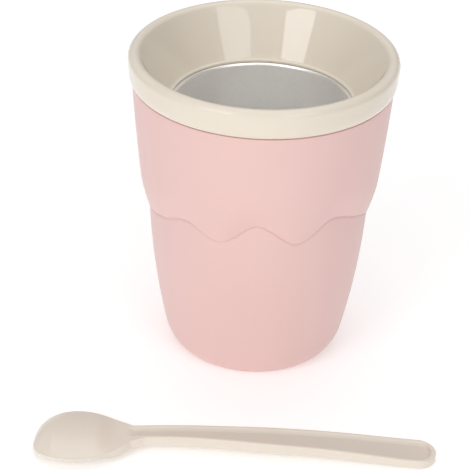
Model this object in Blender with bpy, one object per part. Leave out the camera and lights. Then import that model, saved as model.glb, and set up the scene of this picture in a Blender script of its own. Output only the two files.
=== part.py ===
"""Passive ice cream maker: a cup, a freezing core that lifts out of it, a screw-on funnel and a spoon.

Z is up, and the origin is the centre of the foot pad's underside, on the table.
Lengths below are in millimetres and become metres when a mesh is made.
"""

import math

import bmesh
import bpy
import numpy as np

MM = 0.001

# Roundness of the turned pieces: how many flats go round them.
CASE_STEPS = 48
CORE_STEPS = 36
SMALL_STEPS = 24

# Gap kept between two pieces that touch.
GAP = 0.3

# Outer cup.
CUP_BOTTOM = 0.35
CUP_RIM = 116.6
CUP_FLOOR = 4.6
CUP_WALL = 2.4
FOOT_CORNER_HEIGHT = 9.0
FOOT_CORNER_REACH = 4.4
# Inside of the cup above and below the stretch that follows its outside: (height, radius).
CUP_INSIDE_UPPER = ((CUP_RIM, 48.6), (104.0, 47.3), (84.0, 45.4), (73.0, 41.7))
CUP_INSIDE_FOOT = ((9.0, 34.7), (CUP_FLOOR, 31.6))
DRIP_STEP = 0.12
DRIP_ROLL = 14.0

# The edge of the drip relief: (bearing in degrees from the front, height), joined by a smooth curve.
DRIP_EDGE = (
    (-90.0, 62.0),
    (-56.0, 67.0),
    (-38.0, 71.8),
    (-19.0, 66.9),
    (0.5, 75.8),
    (21.0, 67.1),
    (40.5, 74.8),
    (60.0, 69.6),
    (90.0, 62.0),
    (122.0, 71.0),
    (143.0, 66.0),
    (165.0, 74.5),
    (187.0, 67.5),
    (208.0, 73.0),
    (236.0, 67.0),
)

# Foot pad.
PAD_RADIUS = 26.0
PAD_THICKNESS = 1.6
PAD_CHAMFER = 0.4

# Funnel collar.
LIP_RADIUS = 52.5
LIP_ROLL = 2.6
HEIGHT = 128.3
COLLAR_SEAT = CUP_RIM + GAP
BAND_ROUND_HEIGHT = 5.0
BAND_ROUND_REACH = 1.8
FUNNEL_SLOPE = math.radians(60)
FUNNEL_FOOT = 107.15
FUNNEL_LEDGE_HEIGHT = 0.95
FUNNEL_LEDGE_WIDTH = 0.9
BAND_RADIUS = LIP_RADIUS - 0.2
SEAT_INNER = 47.4
GROOVE_INNER = 39.3
GROOVE_OUTER = 41.3
GROOVE_TOP = 109.2
SKIRT_INNER = 43.9
SKIRT_OUTER = 45.4
SKIRT_BOTTOM = 93.5

# Freezing bowl.
BOWL_RIM = 106.8
BOWL_FLOOR = 24.0
BOWL_WALL = 0.9
BOWL_MOUTH_RADIUS = 34.7
BOWL_FOOT_RADIUS = 29.2
BOWL_CORNER = 8.0
BOWL_RIM_ROLL = 1.1
BOWL_FLANGE_RADIUS = 41.05

# Freezer can, which holds the coolant round the bowl.
CAN_BOTTOM = 7.7
CAN_WALL = 1.6
CAN_TO_CUP = 2.3
CAN_WAIST = 39.4
CAN_WALL_HEIGHTS = (16.0, 28.0, 38.0, 50.0, 62.0)
RIM_WALL = 1.05
NECK_WALL = 1.7
SHOULDER_WALL = 1.8
SHOULDER_INNER = 37.1
NECK_RADIUS = 42.4
NECK_BOTTOM = 91.5
CAN_SHOULDER = 104.6
CAN_RIM = 106.5
PLUG_HOLE = 5.4
PLUG_RECESS = 18.0
PLUG_CEILING = 11.8
PLUG_TOP = 14.0
PLUG_SHANK = 5.1
PLUG_HEAD = 8.0
PLUG_BOTTOM = 8.4
HEAD_TOP = PLUG_CEILING - 1.85
SOCKET_RADIUS = 2.7
SOCKET_DEPTH = 1.6

# Quick-turn thread between the collar and the can.
THREAD_STARTS = 4
THREAD_LEAD = 24.0
RIDGE_BOTTOM = 93.5
RIDGE_TURN = 150.0
RIDGE_CREST = 43.5
LUG_FIRST = 62.0
LUG_TURN = 60.0
LUG_CREST = 42.8
LUG_DROP = 2.45
THREAD_STEP = 7.5
THREAD_ROOT_SINK = 0.5

# Spoon, lying along X in front of the cup, with a crowned blade and a channel along its handle.
SPOON_TIP_X = -81.1
SPOON_NECK_X = -44.0
SPOON_END_X = 71.4
SPOON_AXIS_Y = -84.4
SPOON_REST = 0.3
NECK_LENGTH = 5.0
HANDLE_RAIL = 1.2
CHANNEL_SLOPE = 1.0
CHANNEL_DEPTH = 1.4
CHANNEL_END_DEPTH = 0.1
BLADE_WALL = 1.4
BLADE_CROWN = 2.6
BLADE_FULL_WIDTH = 13.0
THINNEST_HALF = 0.3

# Edges of the spoon's blade: (turn in degrees from tip to neck, distance from the spoon's axis).
BLADE_FAR = (
    (0, -4.6),
    (10, 2.2),
    (20, 7.4),
    (33, 11.7),
    (44, 14.2),
    (54, 15.1),
    (62, 14.6),
    (70, 12.9),
    (78, 10.1),
    (84, 7.4),
    (90, 4.7),
)
BLADE_NEAR = (
    (0, -4.6),
    (19, -10.1),
    (29, -12.3),
    (36, -13.5),
    (46, -14.7),
    (54, -15.0),
    (63, -14.6),
    (71, -13.2),
    (78, -10.8),
    (84, -8.4),
    (90, -5.0),
)
# Height of the blade's rim and of the handle's top: (x, height).
SPOON_TOP = (
    (-81.1, 3.6),
    (-74.0, 4.7),
    (-62.0, 5.0),
    (-52.0, 5.5),
    (-44.0, 6.9),
    (-18.0, 7.9),
    (0.0, 7.85),
    (20.0, 7.25),
    (39.0, 6.0),
    (58.0, 4.45),
    (71.4, 3.7),
)
# The handle's edge on the cup's side, its width and its thickness: (x, distance or size).
HANDLE_FAR = (
    (-44.0, 4.8),
    (-18.6, 5.4),
    (0.5, 5.9),
    (20.0, 6.5),
    (39.0, 7.0),
    (66.0, 7.3),
    (72.0, 7.3),
)
HANDLE_WIDTH = (
    (-44.0, 7.6),
    (-21.6, 8.3),
    (-10.3, 9.1),
    (1.1, 10.2),
    (12.5, 11.1),
    (23.8, 11.6),
    (46.6, 12.9),
    (64.0, 13.7),
    (72.0, 13.7),
)
HANDLE_DEPTH = (
    (-44.0, 4.5),
    (-10.3, 4.6),
    (12.5, 4.2),
    (35.2, 3.8),
    (58.0, 3.6),
    (72.0, 3.4),
)

# Cross-sections of the spoon: shares of its half width and of its crown, across it and under it.
BLADE_ACROSS = ((-1.0, 0.0), (-0.8, 0.35), (-0.45, 0.8), (0.0, 1.0), (0.45, 0.8), (0.8, 0.35), (1.0, 0.0))
BACK_ACROSS = ((0.97, 0.0), (0.85, 0.25), (0.4, 0.8), (-0.4, 0.8), (-0.85, 0.25), (-0.97, 0.0))


def clear_scene():
    """Removes every object that the scene starts with."""
    for found in list(bpy.data.objects):
        bpy.data.objects.remove(found)


def make_material(name, colour, roughness, metallic=0.0):
    """A Principled material of one colour."""
    material = bpy.data.materials.new(name)
    material.use_nodes = True
    shader = material.node_tree.nodes["Principled BSDF"]
    shader.inputs["Base Color"].default_value = (*colour, 1.0)
    shader.inputs["Roughness"].default_value = roughness
    shader.inputs["Metallic"].default_value = metallic
    material.diffuse_color = (*colour, 1.0)
    return material


def make_axis(name, parent=None):
    """An empty at the origin, on the upright axis that a moving group slides along or turns about."""
    axis = bpy.data.objects.new(name, None)
    bpy.context.scene.collection.objects.link(axis)
    axis.parent = parent
    return axis


def add_object(name, mesh, material=None, parent=None):
    """Puts a mesh into the scene as an object, shaded smooth except at its edges."""
    piece = bpy.data.objects.new(name, mesh)
    bpy.context.scene.collection.objects.link(piece)
    mesh.shade_smooth()
    mesh.set_sharp_from_angle(angle=math.radians(35))
    if material:
        mesh.materials.append(material)
    piece.parent = parent
    return piece


def hide_cutter(piece):
    """Marks an object as a tool that only shapes another one."""
    piece.hide_render = True
    piece.display_type = "WIRE"


def combine(piece, tool, operation):
    """Joins a tool to a piece, or cuts it out, with a Boolean that stays on the piece."""
    hide_cutter(tool)
    modifier = piece.modifiers.new(tool.name, "BOOLEAN")
    modifier.operation = operation
    modifier.solver = "EXACT"
    modifier.object = tool


def smooth_curve(knots, values, turn=None):
    """A curve through knots that has no bump between them: a cubic whose slope at each knot is the
    harmonic mean of the slopes beside it, or zero at a high or low point. turn is its period."""
    at, height = (np.array(column, float) for column in zip(*knots))
    values = np.asarray(values, float)
    if turn:
        at = np.concatenate((at[-2:] - turn, at, at[:2] + turn))
        height = np.concatenate((height[-2:], height, height[:2]))
        values = (values - at[2]) % turn + at[2]
    step = np.diff(at)
    rise = np.diff(height) / step
    before, after = rise[:-1], rise[1:]
    same_way = before * after > 0
    total = np.where(same_way, before + after, 1.0)
    slope = np.zeros_like(at)
    slope[1:-1] = np.where(same_way, 2 * before * after / total, 0.0)
    slope[0], slope[-1] = rise[0], rise[-1]
    left = np.clip(np.searchsorted(at, values, side="right") - 1, 0, len(step) - 1)
    t = np.clip((values - at[left]) / step[left], 0, 1)
    return (
        (2 * t**3 - 3 * t**2 + 1) * height[left]
        + (t**3 - 2 * t**2 + t) * step[left] * slope[left]
        + (3 * t**2 - 2 * t**3) * height[left + 1]
        + (t**3 - t**2) * step[left] * slope[left + 1]
    )


def arc(centre, radius, first, last, steps):
    """Points on an arc in the (radius, height) plane, angles in degrees from outwards to upwards."""
    angles = np.radians(np.linspace(first, last, steps + 1))
    return [(centre[0] + radius * math.cos(a), centre[1] + radius * math.sin(a)) for a in angles]


def turned(profile, steps):
    """The mesh of a closed outline in the (radius, height) plane, turned about Z."""
    build = bmesh.new()
    corners = [build.verts.new((r * MM, 0, z * MM)) for r, z in profile]
    closed = min(r for r, _ in profile) > 0
    following = corners[1:] + corners[:1] if closed else corners[1:]
    edges = [build.edges.new(pair) for pair in zip(corners, following)]
    bmesh.ops.spin(
        build,
        geom=corners + edges,
        cent=(0, 0, 0),
        axis=(0, 0, 1),
        angle=math.tau,
        steps=steps,
        use_merge=True,
    )
    return finished(build)


def finished(build):
    """Merges doubled points, points the faces outwards and gives the mesh."""
    bmesh.ops.remove_doubles(build, verts=build.verts, dist=1e-6)
    bmesh.ops.recalc_face_normals(build, faces=build.faces)
    mesh = bpy.data.meshes.new("mesh")
    build.to_mesh(mesh)
    build.free()
    return mesh


def lofted(rings):
    """The closed mesh of a stack of rings with equal counts of points, its two ends filled."""
    build = bmesh.new()
    loops = [[build.verts.new([value * MM for value in point]) for point in ring] for ring in rings]
    for lower, upper in zip(loops, loops[1:]):
        for i, corner in enumerate(lower):
            build.faces.new((lower[i - 1], corner, upper[i], upper[i - 1]))
    build.faces.new(loops[0])
    build.faces.new(loops[-1])
    return finished(build)


def lower_wall(height):
    """Radius of the cup below the drip: a slightly full cone, drawn in by a quarter ellipse at the foot."""
    share = (height - 14) / 46
    wall = 38 + 5.7 * share + 3.4 * share * (1 - share)
    depth = np.clip((FOOT_CORNER_HEIGHT - height) / FOOT_CORNER_HEIGHT, 0, 1)
    return wall - FOOT_CORNER_REACH * (1 - np.sqrt(1 - depth**2))


def upper_wall(height):
    """Radius of the cup's upper layer, above the drip: a nearly straight cone."""
    share = (height - 76) / 42
    return 47.4 + 3.6 * share + share * (1 - share)


def cup_radius(height, edge, step):
    """Radius of the cup's outside: the lower wall, then a roll that grows out to the upper layer."""
    above = np.clip((height - edge) / DRIP_ROLL, 0, 1)
    share = np.where(height > edge, step + (1 - step) * (1 - (1 - above) ** 2), 0)
    return lower_wall(height) + (upper_wall(height) - lower_wall(height)) * share


def make_outer_cup(material):
    """The cup: one moulding whose upper layer hangs over the lower wall with a dripping edge."""
    bearing = np.linspace(-180, 180, CASE_STEPS, endpoint=False)
    edge = smooth_curve(DRIP_EDGE, bearing, turn=360)
    level = np.ones(CASE_STEPS)
    rows = []

    def add_row(height, radius):
        side = np.radians(bearing)
        rows.append(np.stack((radius * np.sin(side), -radius * np.cos(side), height * level), axis=1))

    pad_hole = PAD_RADIUS + 0.4
    pad_ceiling = PAD_THICKNESS + GAP
    add_row(pad_ceiling, pad_hole)
    add_row(CUP_BOTTOM, pad_hole)
    for height in (CUP_BOTTOM, 1.3, 3.0, 5.6, 10.0):
        add_row(height, lower_wall(height))
    for share in (0.4, 0.75, 1.0):
        height = 10 + (edge - 10) * share
        add_row(height, cup_radius(height, edge, 0))
    for above in (0.4, 4.0, 8.5, DRIP_ROLL):
        add_row(edge + above, cup_radius(edge + above, edge, DRIP_STEP))
    for height in (102.0, CUP_RIM - 0.4):
        add_row(height, upper_wall(height))
    add_row(CUP_RIM, upper_wall(CUP_RIM) - 0.5)
    for height, radius in CUP_INSIDE_UPPER:
        add_row(height, radius)
    for height in (62.0, 38.0, 20.0):
        add_row(height, lower_wall(height) - CUP_WALL)
    for height, radius in CUP_INSIDE_FOOT:
        add_row(height, radius)
    return add_object("outer_cup", lofted(rows), material)


def make_foot_pad(material):
    """The non-slip disc let into the cup's underside, which the whole maker stands on."""
    profile = (
        (0, PAD_THICKNESS),
        (PAD_RADIUS, PAD_THICKNESS),
        (PAD_RADIUS, PAD_CHAMFER),
        (PAD_RADIUS - PAD_CHAMFER, 0),
        (0, 0),
    )
    return add_object("foot_pad", turned(profile, CORE_STEPS), material)


def make_insulation_liner(material):
    """The foam beaker between the cup and the cold core."""
    profile = (
        (0, CUP_FLOOR + GAP),
        (31.2, CUP_FLOOR + GAP),
        (34.2, 9.0),
        (lower_wall(20.0) - CUP_WALL - 0.4, 20.0),
        (lower_wall(38.0) - CUP_WALL - 0.4, 38.0),
        (lower_wall(62.0) - CUP_WALL - 0.4, 62.0),
        (41.2, 71.0),
        (39.55, 71.0),
        (39.4, 62.0),
        (37.35, 38.0),
        (34.7, 20.0),
        (32.8, 11.4),
        (30.5, CAN_BOTTOM - GAP),
        (0, CAN_BOTTOM - GAP),
    )
    return add_object("insulation_liner", turned(profile, CORE_STEPS), material)


def thread_ridges(name, starts_at, turn, bottom, root, crest, root_half, crest_half):
    """Ridges of a screw thread: a trapezium carried up a helix, one for each start, as one tool."""
    build = bmesh.new()
    count = round(turn / THREAD_STEP)
    for start in range(THREAD_STARTS):
        loops = []
        for step in range(count + 1):
            climb = turn * step / count
            bearing = math.radians(starts_at + climb + 360 * start / THREAD_STARTS)
            middle = bottom + THREAD_LEAD * climb / 360
            section = ((root, -root_half), (crest, -crest_half), (crest, crest_half), (root, root_half))
            loops.append(
                [
                    build.verts.new(
                        (r * math.cos(bearing) * MM, r * math.sin(bearing) * MM, (middle + rise) * MM)
                    )
                    for r, rise in section
                ]
            )
        for first, second in zip(loops, loops[1:]):
            for i, corner in enumerate(first):
                build.faces.new((first[i - 1], corner, second[i], second[i - 1]))
        build.faces.new(loops[0])
        build.faces.new(loops[-1])
    return add_object(name, finished(build))


def can_wall(height):
    """Radius of the can's tapered wall, which keeps its distance from the cup's inside."""
    return lower_wall(height) - CUP_WALL - CAN_TO_CUP


def make_freezer_can(material, parent):
    """The can that holds the coolant, with the thread for the collar on its neck."""
    skin = [(can_wall(height), height) for height in reversed(CAN_WALL_HEIGHTS)]
    rim_inner = NECK_RADIUS - RIM_WALL
    neck_inner = NECK_RADIUS - NECK_WALL
    profile = [
        (rim_inner, CAN_RIM),
        (NECK_RADIUS, CAN_RIM),
        (NECK_RADIUS, NECK_BOTTOM),
        (CAN_WAIST, 79.5),
        *skin,
        (32.2, 11.2),
        (30.2, CAN_BOTTOM),
        (PLUG_RECESS, CAN_BOTTOM),
        (PLUG_RECESS, PLUG_CEILING),
        (PLUG_HOLE, PLUG_CEILING),
        (PLUG_HOLE, PLUG_TOP),
        (PLUG_RECESS + 1.9, PLUG_TOP),
        (PLUG_RECESS + 1.9, 9.8),
        (29.3, 9.8),
        (30.6, 11.8),
        *[(radius - CAN_WALL, height) for radius, height in reversed(skin)],
        (CAN_WAIST - CAN_WALL, 80.0),
        (neck_inner, 91.9),
        (neck_inner, CAN_SHOULDER - SHOULDER_WALL),
        (SHOULDER_INNER, CAN_SHOULDER - SHOULDER_WALL),
        (SHOULDER_INNER, CAN_SHOULDER),
        (rim_inner, CAN_SHOULDER),
    ]
    can = add_object("freezer_can", turned(profile, CORE_STEPS), material, parent)
    ridges = thread_ridges(
        "neck_ridges",
        0,
        RIDGE_TURN,
        RIDGE_BOTTOM,
        NECK_RADIUS - THREAD_ROOT_SINK,
        RIDGE_CREST,
        1.1,
        0.6,
    )
    combine(can, ridges, "UNION")
    return can


def make_freezing_bowl(material, parent):
    """The thin metal bowl that the mix freezes in, rolled over at its rim into a clamping flange."""
    corner_centre = (BOWL_FOOT_RADIUS - BOWL_CORNER, BOWL_FLOOR + BOWL_CORNER)
    roll_centre = (BOWL_MOUTH_RADIUS + BOWL_RIM_ROLL, BOWL_RIM - BOWL_RIM_ROLL)
    under_roll = arc(roll_centre, BOWL_RIM_ROLL - BOWL_WALL, 90, 180, 1)
    profile = [(0, BOWL_FLOOR)]
    profile += arc(corner_centre, BOWL_CORNER, -90, 0, 3)
    profile += arc(roll_centre, BOWL_RIM_ROLL, 180, 90, 3)
    profile += [(BOWL_FLANGE_RADIUS, BOWL_RIM), (BOWL_FLANGE_RADIUS, BOWL_RIM - BOWL_WALL)]
    profile += under_roll
    profile += arc(corner_centre, BOWL_CORNER + BOWL_WALL, 0, -90, 3)
    profile += [(0, BOWL_FLOOR - BOWL_WALL)]
    return add_object("freezing_bowl", turned(profile, CORE_STEPS), material, parent)


def make_coolant_gel(material, parent):
    """The coolant, filled to a little below the shoulder so that it has room to swell."""
    fill = 98.0
    clear = BOWL_WALL + GAP
    corner_centre = (BOWL_FOOT_RADIUS - BOWL_CORNER, BOWL_FLOOR + BOWL_CORNER)
    skin = [(can_wall(height) - CAN_WALL - GAP, height) for height in reversed(CAN_WALL_HEIGHTS)]
    profile = [(0, BOWL_FLOOR - clear)]
    profile += arc(corner_centre, BOWL_CORNER + clear, -90, 0, 3)
    profile += [
        (BOWL_MOUTH_RADIUS + clear, fill),
        (NECK_RADIUS - NECK_WALL - 0.4, fill),
        (NECK_RADIUS - NECK_WALL - 0.4, 92.2),
        (CAN_WAIST - CAN_WALL - GAP, 80.0),
        *skin,
        (30.2, 12.0),
        (29.1, 10.1),
        (PLUG_RECESS + 1.9 + GAP, 10.1),
        (PLUG_RECESS + 1.9 + GAP, PLUG_TOP + GAP),
        (0, PLUG_TOP + GAP),
    ]
    return add_object("coolant_gel", turned(profile, CORE_STEPS), material, parent)


def ring_profile(inner, outer, bottom, top):
    """The outline of a ring with a rectangular section."""
    return ((inner, top), (outer, top), (outer, bottom), (inner, bottom))


def make_fill_plug(material, parent):
    """The screw plug that the coolant is filled through, with a six-sided socket in its head."""
    profile = (
        (0, PLUG_TOP),
        (PLUG_SHANK, PLUG_TOP),
        (PLUG_SHANK, HEAD_TOP),
        (PLUG_HEAD, HEAD_TOP),
        (PLUG_HEAD, PLUG_BOTTOM + 0.4),
        (PLUG_HEAD - 0.4, PLUG_BOTTOM),
        (0, PLUG_BOTTOM),
    )
    plug = add_object("fill_plug", turned(profile, SMALL_STEPS), material, parent)
    socket = bmesh.new()
    bmesh.ops.create_cone(
        socket,
        cap_ends=True,
        segments=6,
        radius1=SOCKET_RADIUS * MM,
        radius2=SOCKET_RADIUS * MM,
        depth=2 * SOCKET_DEPTH * MM,
    )
    bmesh.ops.translate(socket, verts=socket.verts, vec=(0, 0, PLUG_BOTTOM * MM))
    combine(plug, add_object("plug_socket", finished(socket)), "DIFFERENCE")
    return plug


def make_plug_seal(material, parent):
    """The O-ring squeezed between the plug's head and the can's floor."""
    profile = arc((6.95, PLUG_CEILING - 0.9), 0.62, 0, 300, 5)
    return add_object("plug_seal", turned(profile, SMALL_STEPS), material, parent)


def make_funnel_collar(material, parent):
    """The collar: a rolled lip, a funnel down to the bowl, a skirt with thread lugs and a seal groove."""
    lip_centre = (LIP_RADIUS - LIP_ROLL, HEIGHT - LIP_ROLL)
    inner_side = 90 + math.degrees(FUNNEL_SLOPE)
    lip = arc(lip_centre, LIP_ROLL, inner_side, 0, 5)
    funnel_top_r, funnel_top_z = lip[0]
    ledge_z = FUNNEL_FOOT + FUNNEL_LEDGE_HEIGHT
    ledge_outer = funnel_top_r - (funnel_top_z - ledge_z) / math.tan(FUNNEL_SLOPE)
    ledge_inner = ledge_outer - FUNNEL_LEDGE_WIDTH
    band_top = COLLAR_SEAT + BAND_ROUND_HEIGHT
    turns = np.radians((0, 30, 60, 90))
    band = [
        (BAND_RADIUS - BAND_ROUND_REACH * (1 - math.cos(a)), band_top - BAND_ROUND_HEIGHT * math.sin(a))
        for a in turns
    ]
    profile = lip + band
    profile += [
        (SEAT_INNER, COLLAR_SEAT),
        (SEAT_INNER, 113.2),
        (SKIRT_OUTER, 110.8),
        (SKIRT_OUTER, SKIRT_BOTTOM),
        (SKIRT_INNER, SKIRT_BOTTOM),
        (SKIRT_INNER, FUNNEL_FOOT),
        (GROOVE_OUTER, FUNNEL_FOOT),
        (GROOVE_OUTER, GROOVE_TOP),
        (GROOVE_INNER, GROOVE_TOP),
        (GROOVE_INNER, FUNNEL_FOOT),
        (ledge_inner, FUNNEL_FOOT),
        (ledge_inner, ledge_z),
        (ledge_outer, ledge_z),
    ]
    collar = add_object("funnel_collar", turned(profile, CASE_STEPS), material, parent)
    lugs = thread_ridges(
        "collar_lugs",
        LUG_FIRST,
        LUG_TURN,
        RIDGE_BOTTOM + THREAD_LEAD * LUG_FIRST / 360 - LUG_DROP,
        SKIRT_INNER + THREAD_ROOT_SINK,
        LUG_CREST,
        1.0,
        0.55,
    )
    combine(collar, lugs, "UNION")
    return collar


def blade_station(turn):
    """Place along X and the two edges of the blade, at a turn of its outline from tip to neck."""
    x = SPOON_TIP_X + (SPOON_NECK_X - SPOON_TIP_X) * (1 - math.cos(math.radians(turn)))
    return x, float(smooth_curve(BLADE_FAR, turn)), float(smooth_curve(BLADE_NEAR, turn))


def handle_station(x):
    """Place along X and the two edges of the handle, which ends in a half circle."""
    half = float(smooth_curve(HANDLE_WIDTH, x)) / 2
    middle = float(smooth_curve(HANDLE_FAR, x)) - half
    beyond = max(0.0, x - (SPOON_END_X - half)) / half
    half *= math.sqrt(1 - beyond**2)
    return x, middle + half, middle - half


def channel_across(x, half):
    """Points across the handle, as distance from its middle and depth: rails, sloping walls and floor.
    The channel ends in a half circle of its own, past which its floor is nearly level with the rails."""
    full_half = HANDLE_WIDTH[-1][1] / 2
    round_start = SPOON_END_X - full_half
    beyond = max(0.0, x - round_start) / (full_half - HANDLE_RAIL)
    share = math.sqrt(max(0.0, 1 - beyond**2))
    edge = max((float(smooth_curve(HANDLE_WIDTH, x)) / 2 - HANDLE_RAIL) * share, 0.4 * half)
    floor = max(edge - CHANNEL_SLOPE, 0.5 * edge)
    depth = CHANNEL_DEPTH if share > 0 else CHANNEL_END_DEPTH
    return ((-half, 0), (-edge, 0), (-floor, depth), (0, depth), (floor, depth), (edge, 0), (half, 0))


def spoon_ring(x, far, near):
    """One cross-section of the spoon, as points round it: across its top, then back under it."""
    in_handle = min(1.0, max(0.0, (x - SPOON_NECK_X) / NECK_LENGTH + 1))
    top = float(smooth_curve(SPOON_TOP, x))
    middle, half = (far + near) / 2, max((far - near) / 2, THINNEST_HALF)
    crown = BLADE_CROWN * min(1.0, half / BLADE_FULL_WIDTH) * (1 - in_handle)
    across = []
    for (place, rise), (rail_y, groove) in zip(BLADE_ACROSS, channel_across(x, half)):
        y = place * half + (rail_y - place * half) * in_handle
        across.append((middle + y, top + crown * rise - groove * in_handle))
    thickness = BLADE_WALL + (float(smooth_curve(HANDLE_DEPTH, x)) - BLADE_WALL) * in_handle
    under = [
        (middle + place * half, max(top - thickness + crown * rise, SPOON_REST))
        for place, rise in BACK_ACROSS
    ]
    return [(x, SPOON_AXIS_Y + y, z) for y, z in across + under]


def make_spoon(material, parent):
    """The spoon: an uneven, slightly crowned blade and an arched handle with a channel along its top."""
    turns = (2, 9, 17, 29, 39, 51, 65, 78, 86, 90)
    along = (-38.0, -30.0, -20.0, -10.0, 1.0, 14.0, 28.0, 42.0, 54.0, 64.0, 67.2, 69.4, 70.6, 71.3)
    rings = [spoon_ring(*blade_station(turn)) for turn in turns]
    rings += [spoon_ring(*handle_station(x)) for x in along]
    return add_object("spoon", lofted(rings), material, parent)


def main():
    """Builds the maker: what stays on the table, then each group on the axis that it moves along."""
    clear_scene()
    pink = make_material("pink_plastic", (0.87, 0.61, 0.57), 0.38)
    cream = make_material("cream_plastic", (0.83, 0.76, 0.64), 0.22)
    spoon_cream = make_material("spoon_plastic", (0.81, 0.73, 0.62), 0.3)
    aluminium = make_material("bowl_aluminium", (0.68, 0.68, 0.67), 0.42, 1.0)
    can_plastic = make_material("can_plastic", (0.86, 0.88, 0.89), 0.45)
    silicone = make_material("seal_silicone", (0.86, 0.87, 0.86), 0.6)
    pad_silicone = make_material("pad_silicone", (0.80, 0.77, 0.72), 0.7)
    foam = make_material("liner_foam", (0.93, 0.93, 0.91), 0.9)
    coolant = make_material("coolant", (0.45, 0.68, 0.85), 0.3)
    plug_plastic = make_material("plug_plastic", (0.55, 0.57, 0.58), 0.5)

    make_outer_cup(pink)
    make_foot_pad(pad_silicone)
    make_insulation_liner(foam)

    core_lift = make_axis("core_lift_axis")
    make_freezer_can(can_plastic, core_lift)
    make_coolant_gel(coolant, core_lift)
    make_freezing_bowl(aluminium, core_lift)
    gasket_top = BOWL_RIM - BOWL_WALL - GAP
    gasket = ring_profile(SHOULDER_INNER + 0.4, NECK_RADIUS - RIM_WALL - 0.55, CAN_SHOULDER + GAP, gasket_top)
    add_object("bowl_gasket", turned(gasket, CORE_STEPS), silicone, core_lift)
    make_fill_plug(plug_plastic, core_lift)
    make_plug_seal(silicone, core_lift)

    collar_screw = make_axis("collar_screw_axis", core_lift)
    seal = ring_profile(GROOVE_INNER + GAP, GROOVE_OUTER - GAP, BOWL_RIM + GAP, GROOVE_TOP - GAP)
    add_object("collar_seal", turned(seal, CORE_STEPS), silicone, collar_screw)
    make_funnel_collar(cream, collar_screw)

    make_spoon(spoon_cream, make_axis("spoon_lift_axis"))


main()
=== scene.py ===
"""Looks of a passive ice cream maker: cup, freezing core, screw-on funnel collar and spoon.

Every visible piece is a surface worked out with numpy, in millimetres, round the same axis and
at the same heights as the CAD node that it stands for.
"""

import logging
import math
from dataclasses import dataclass, field
from enum import Enum
from typing import Any, Optional, Sequence, Union

import bpy
import numpy as np
from mathutils import Matrix, Vector


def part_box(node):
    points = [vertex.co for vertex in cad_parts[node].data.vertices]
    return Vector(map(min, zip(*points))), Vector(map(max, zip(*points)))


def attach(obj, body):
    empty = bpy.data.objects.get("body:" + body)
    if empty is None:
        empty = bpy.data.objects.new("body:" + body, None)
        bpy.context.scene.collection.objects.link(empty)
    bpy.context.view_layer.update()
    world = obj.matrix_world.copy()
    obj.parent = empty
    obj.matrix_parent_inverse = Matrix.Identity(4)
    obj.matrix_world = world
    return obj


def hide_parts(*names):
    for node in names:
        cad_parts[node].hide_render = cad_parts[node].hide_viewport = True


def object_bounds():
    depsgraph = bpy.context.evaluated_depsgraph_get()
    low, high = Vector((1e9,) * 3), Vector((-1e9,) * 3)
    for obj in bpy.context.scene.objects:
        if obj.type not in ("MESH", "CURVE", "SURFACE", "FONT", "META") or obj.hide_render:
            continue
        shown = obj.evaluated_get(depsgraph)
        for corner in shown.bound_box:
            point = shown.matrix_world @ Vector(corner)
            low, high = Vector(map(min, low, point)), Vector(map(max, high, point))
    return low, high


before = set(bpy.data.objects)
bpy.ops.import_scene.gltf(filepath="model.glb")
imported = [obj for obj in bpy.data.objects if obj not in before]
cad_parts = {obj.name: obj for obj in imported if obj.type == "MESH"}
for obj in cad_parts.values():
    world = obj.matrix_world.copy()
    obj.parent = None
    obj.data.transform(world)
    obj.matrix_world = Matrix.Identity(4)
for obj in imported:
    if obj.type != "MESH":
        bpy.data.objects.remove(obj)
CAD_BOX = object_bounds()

LOG = logging.getLogger("ice_cream_maker")
MM = 0.001
GAP = 0.3
BEVEL = 0.3
RING_COLUMNS = 256
SHARP_EDGE = 40.0
SAME_RADIUS = 0.01
Colour = tuple[float, float, float]
Number = Union[float, "Value"]
Table = tuple[tuple[float, ...], ...]


# ---------------------------------------------------------------- shapes


class Ends(Enum):
    """How the first and last ring of a skin are closed."""

    JOINED = "the last ring meets the first"
    POLES = "each end closes on a centre point"


def extent(node: str) -> tuple[np.ndarray, np.ndarray]:
    """Gives the lowest and highest corner of a CAD node in millimetres."""
    low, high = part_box(node)
    return np.array(low) / MM, np.array(high) / MM


def smooth(value: np.ndarray) -> np.ndarray:
    """Eases from 0 to 1 as value goes from 0 to 1, flat at both ends: 3 t squared minus 2 t cubed."""
    t = np.clip(value, 0.0, 1.0)
    return t * t * (3.0 - 2.0 * t)


def through(knots: Sequence[tuple[float, float]], values: Any, turn: Optional[float] = None) -> np.ndarray:
    """Reads a smooth curve that passes through knots and never overshoots them.

    Each stretch is the cubic whose end slopes are the harmonic mean of the rises on either side of
    a knot, or zero where the knot is a high or low point.

    Args:
        knots: pairs of place and height, places rising.
        values: the places to read.
        turn: the period, if the curve runs round.

    Returns:
        The heights there.
    """
    at, height = np.array(knots, float).T
    values = np.asarray(values, float)
    if turn:
        at = np.concatenate((at[-2:] - turn, at, at[:2] + turn))
        height = np.concatenate((height[-2:], height, height[:2]))
        values = (values - at[2]) % turn + at[2]
    step = np.diff(at)
    rise = np.diff(height) / step
    before, after = rise[:-1], rise[1:]
    same_way = before * after > 0
    slope = np.concatenate((rise[:1], np.zeros(len(at) - 2), rise[-1:]))
    slope[1:-1] = np.where(same_way, 2 * before * after / np.where(same_way, before + after, 1.0), 0.0)
    left = np.clip(np.searchsorted(at, values, side="right") - 1, 0, len(step) - 1)
    t = np.clip((values - at[left]) / step[left], 0, 1)
    return (
        (2 * t**3 - 3 * t**2 + 1) * height[left]
        + (t**3 - 2 * t**2 + t) * step[left] * slope[left]
        + (3 * t**2 - 2 * t**3) * height[left + 1]
        + (t**3 - t**2) * step[left] * slope[left + 1]
    )


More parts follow.
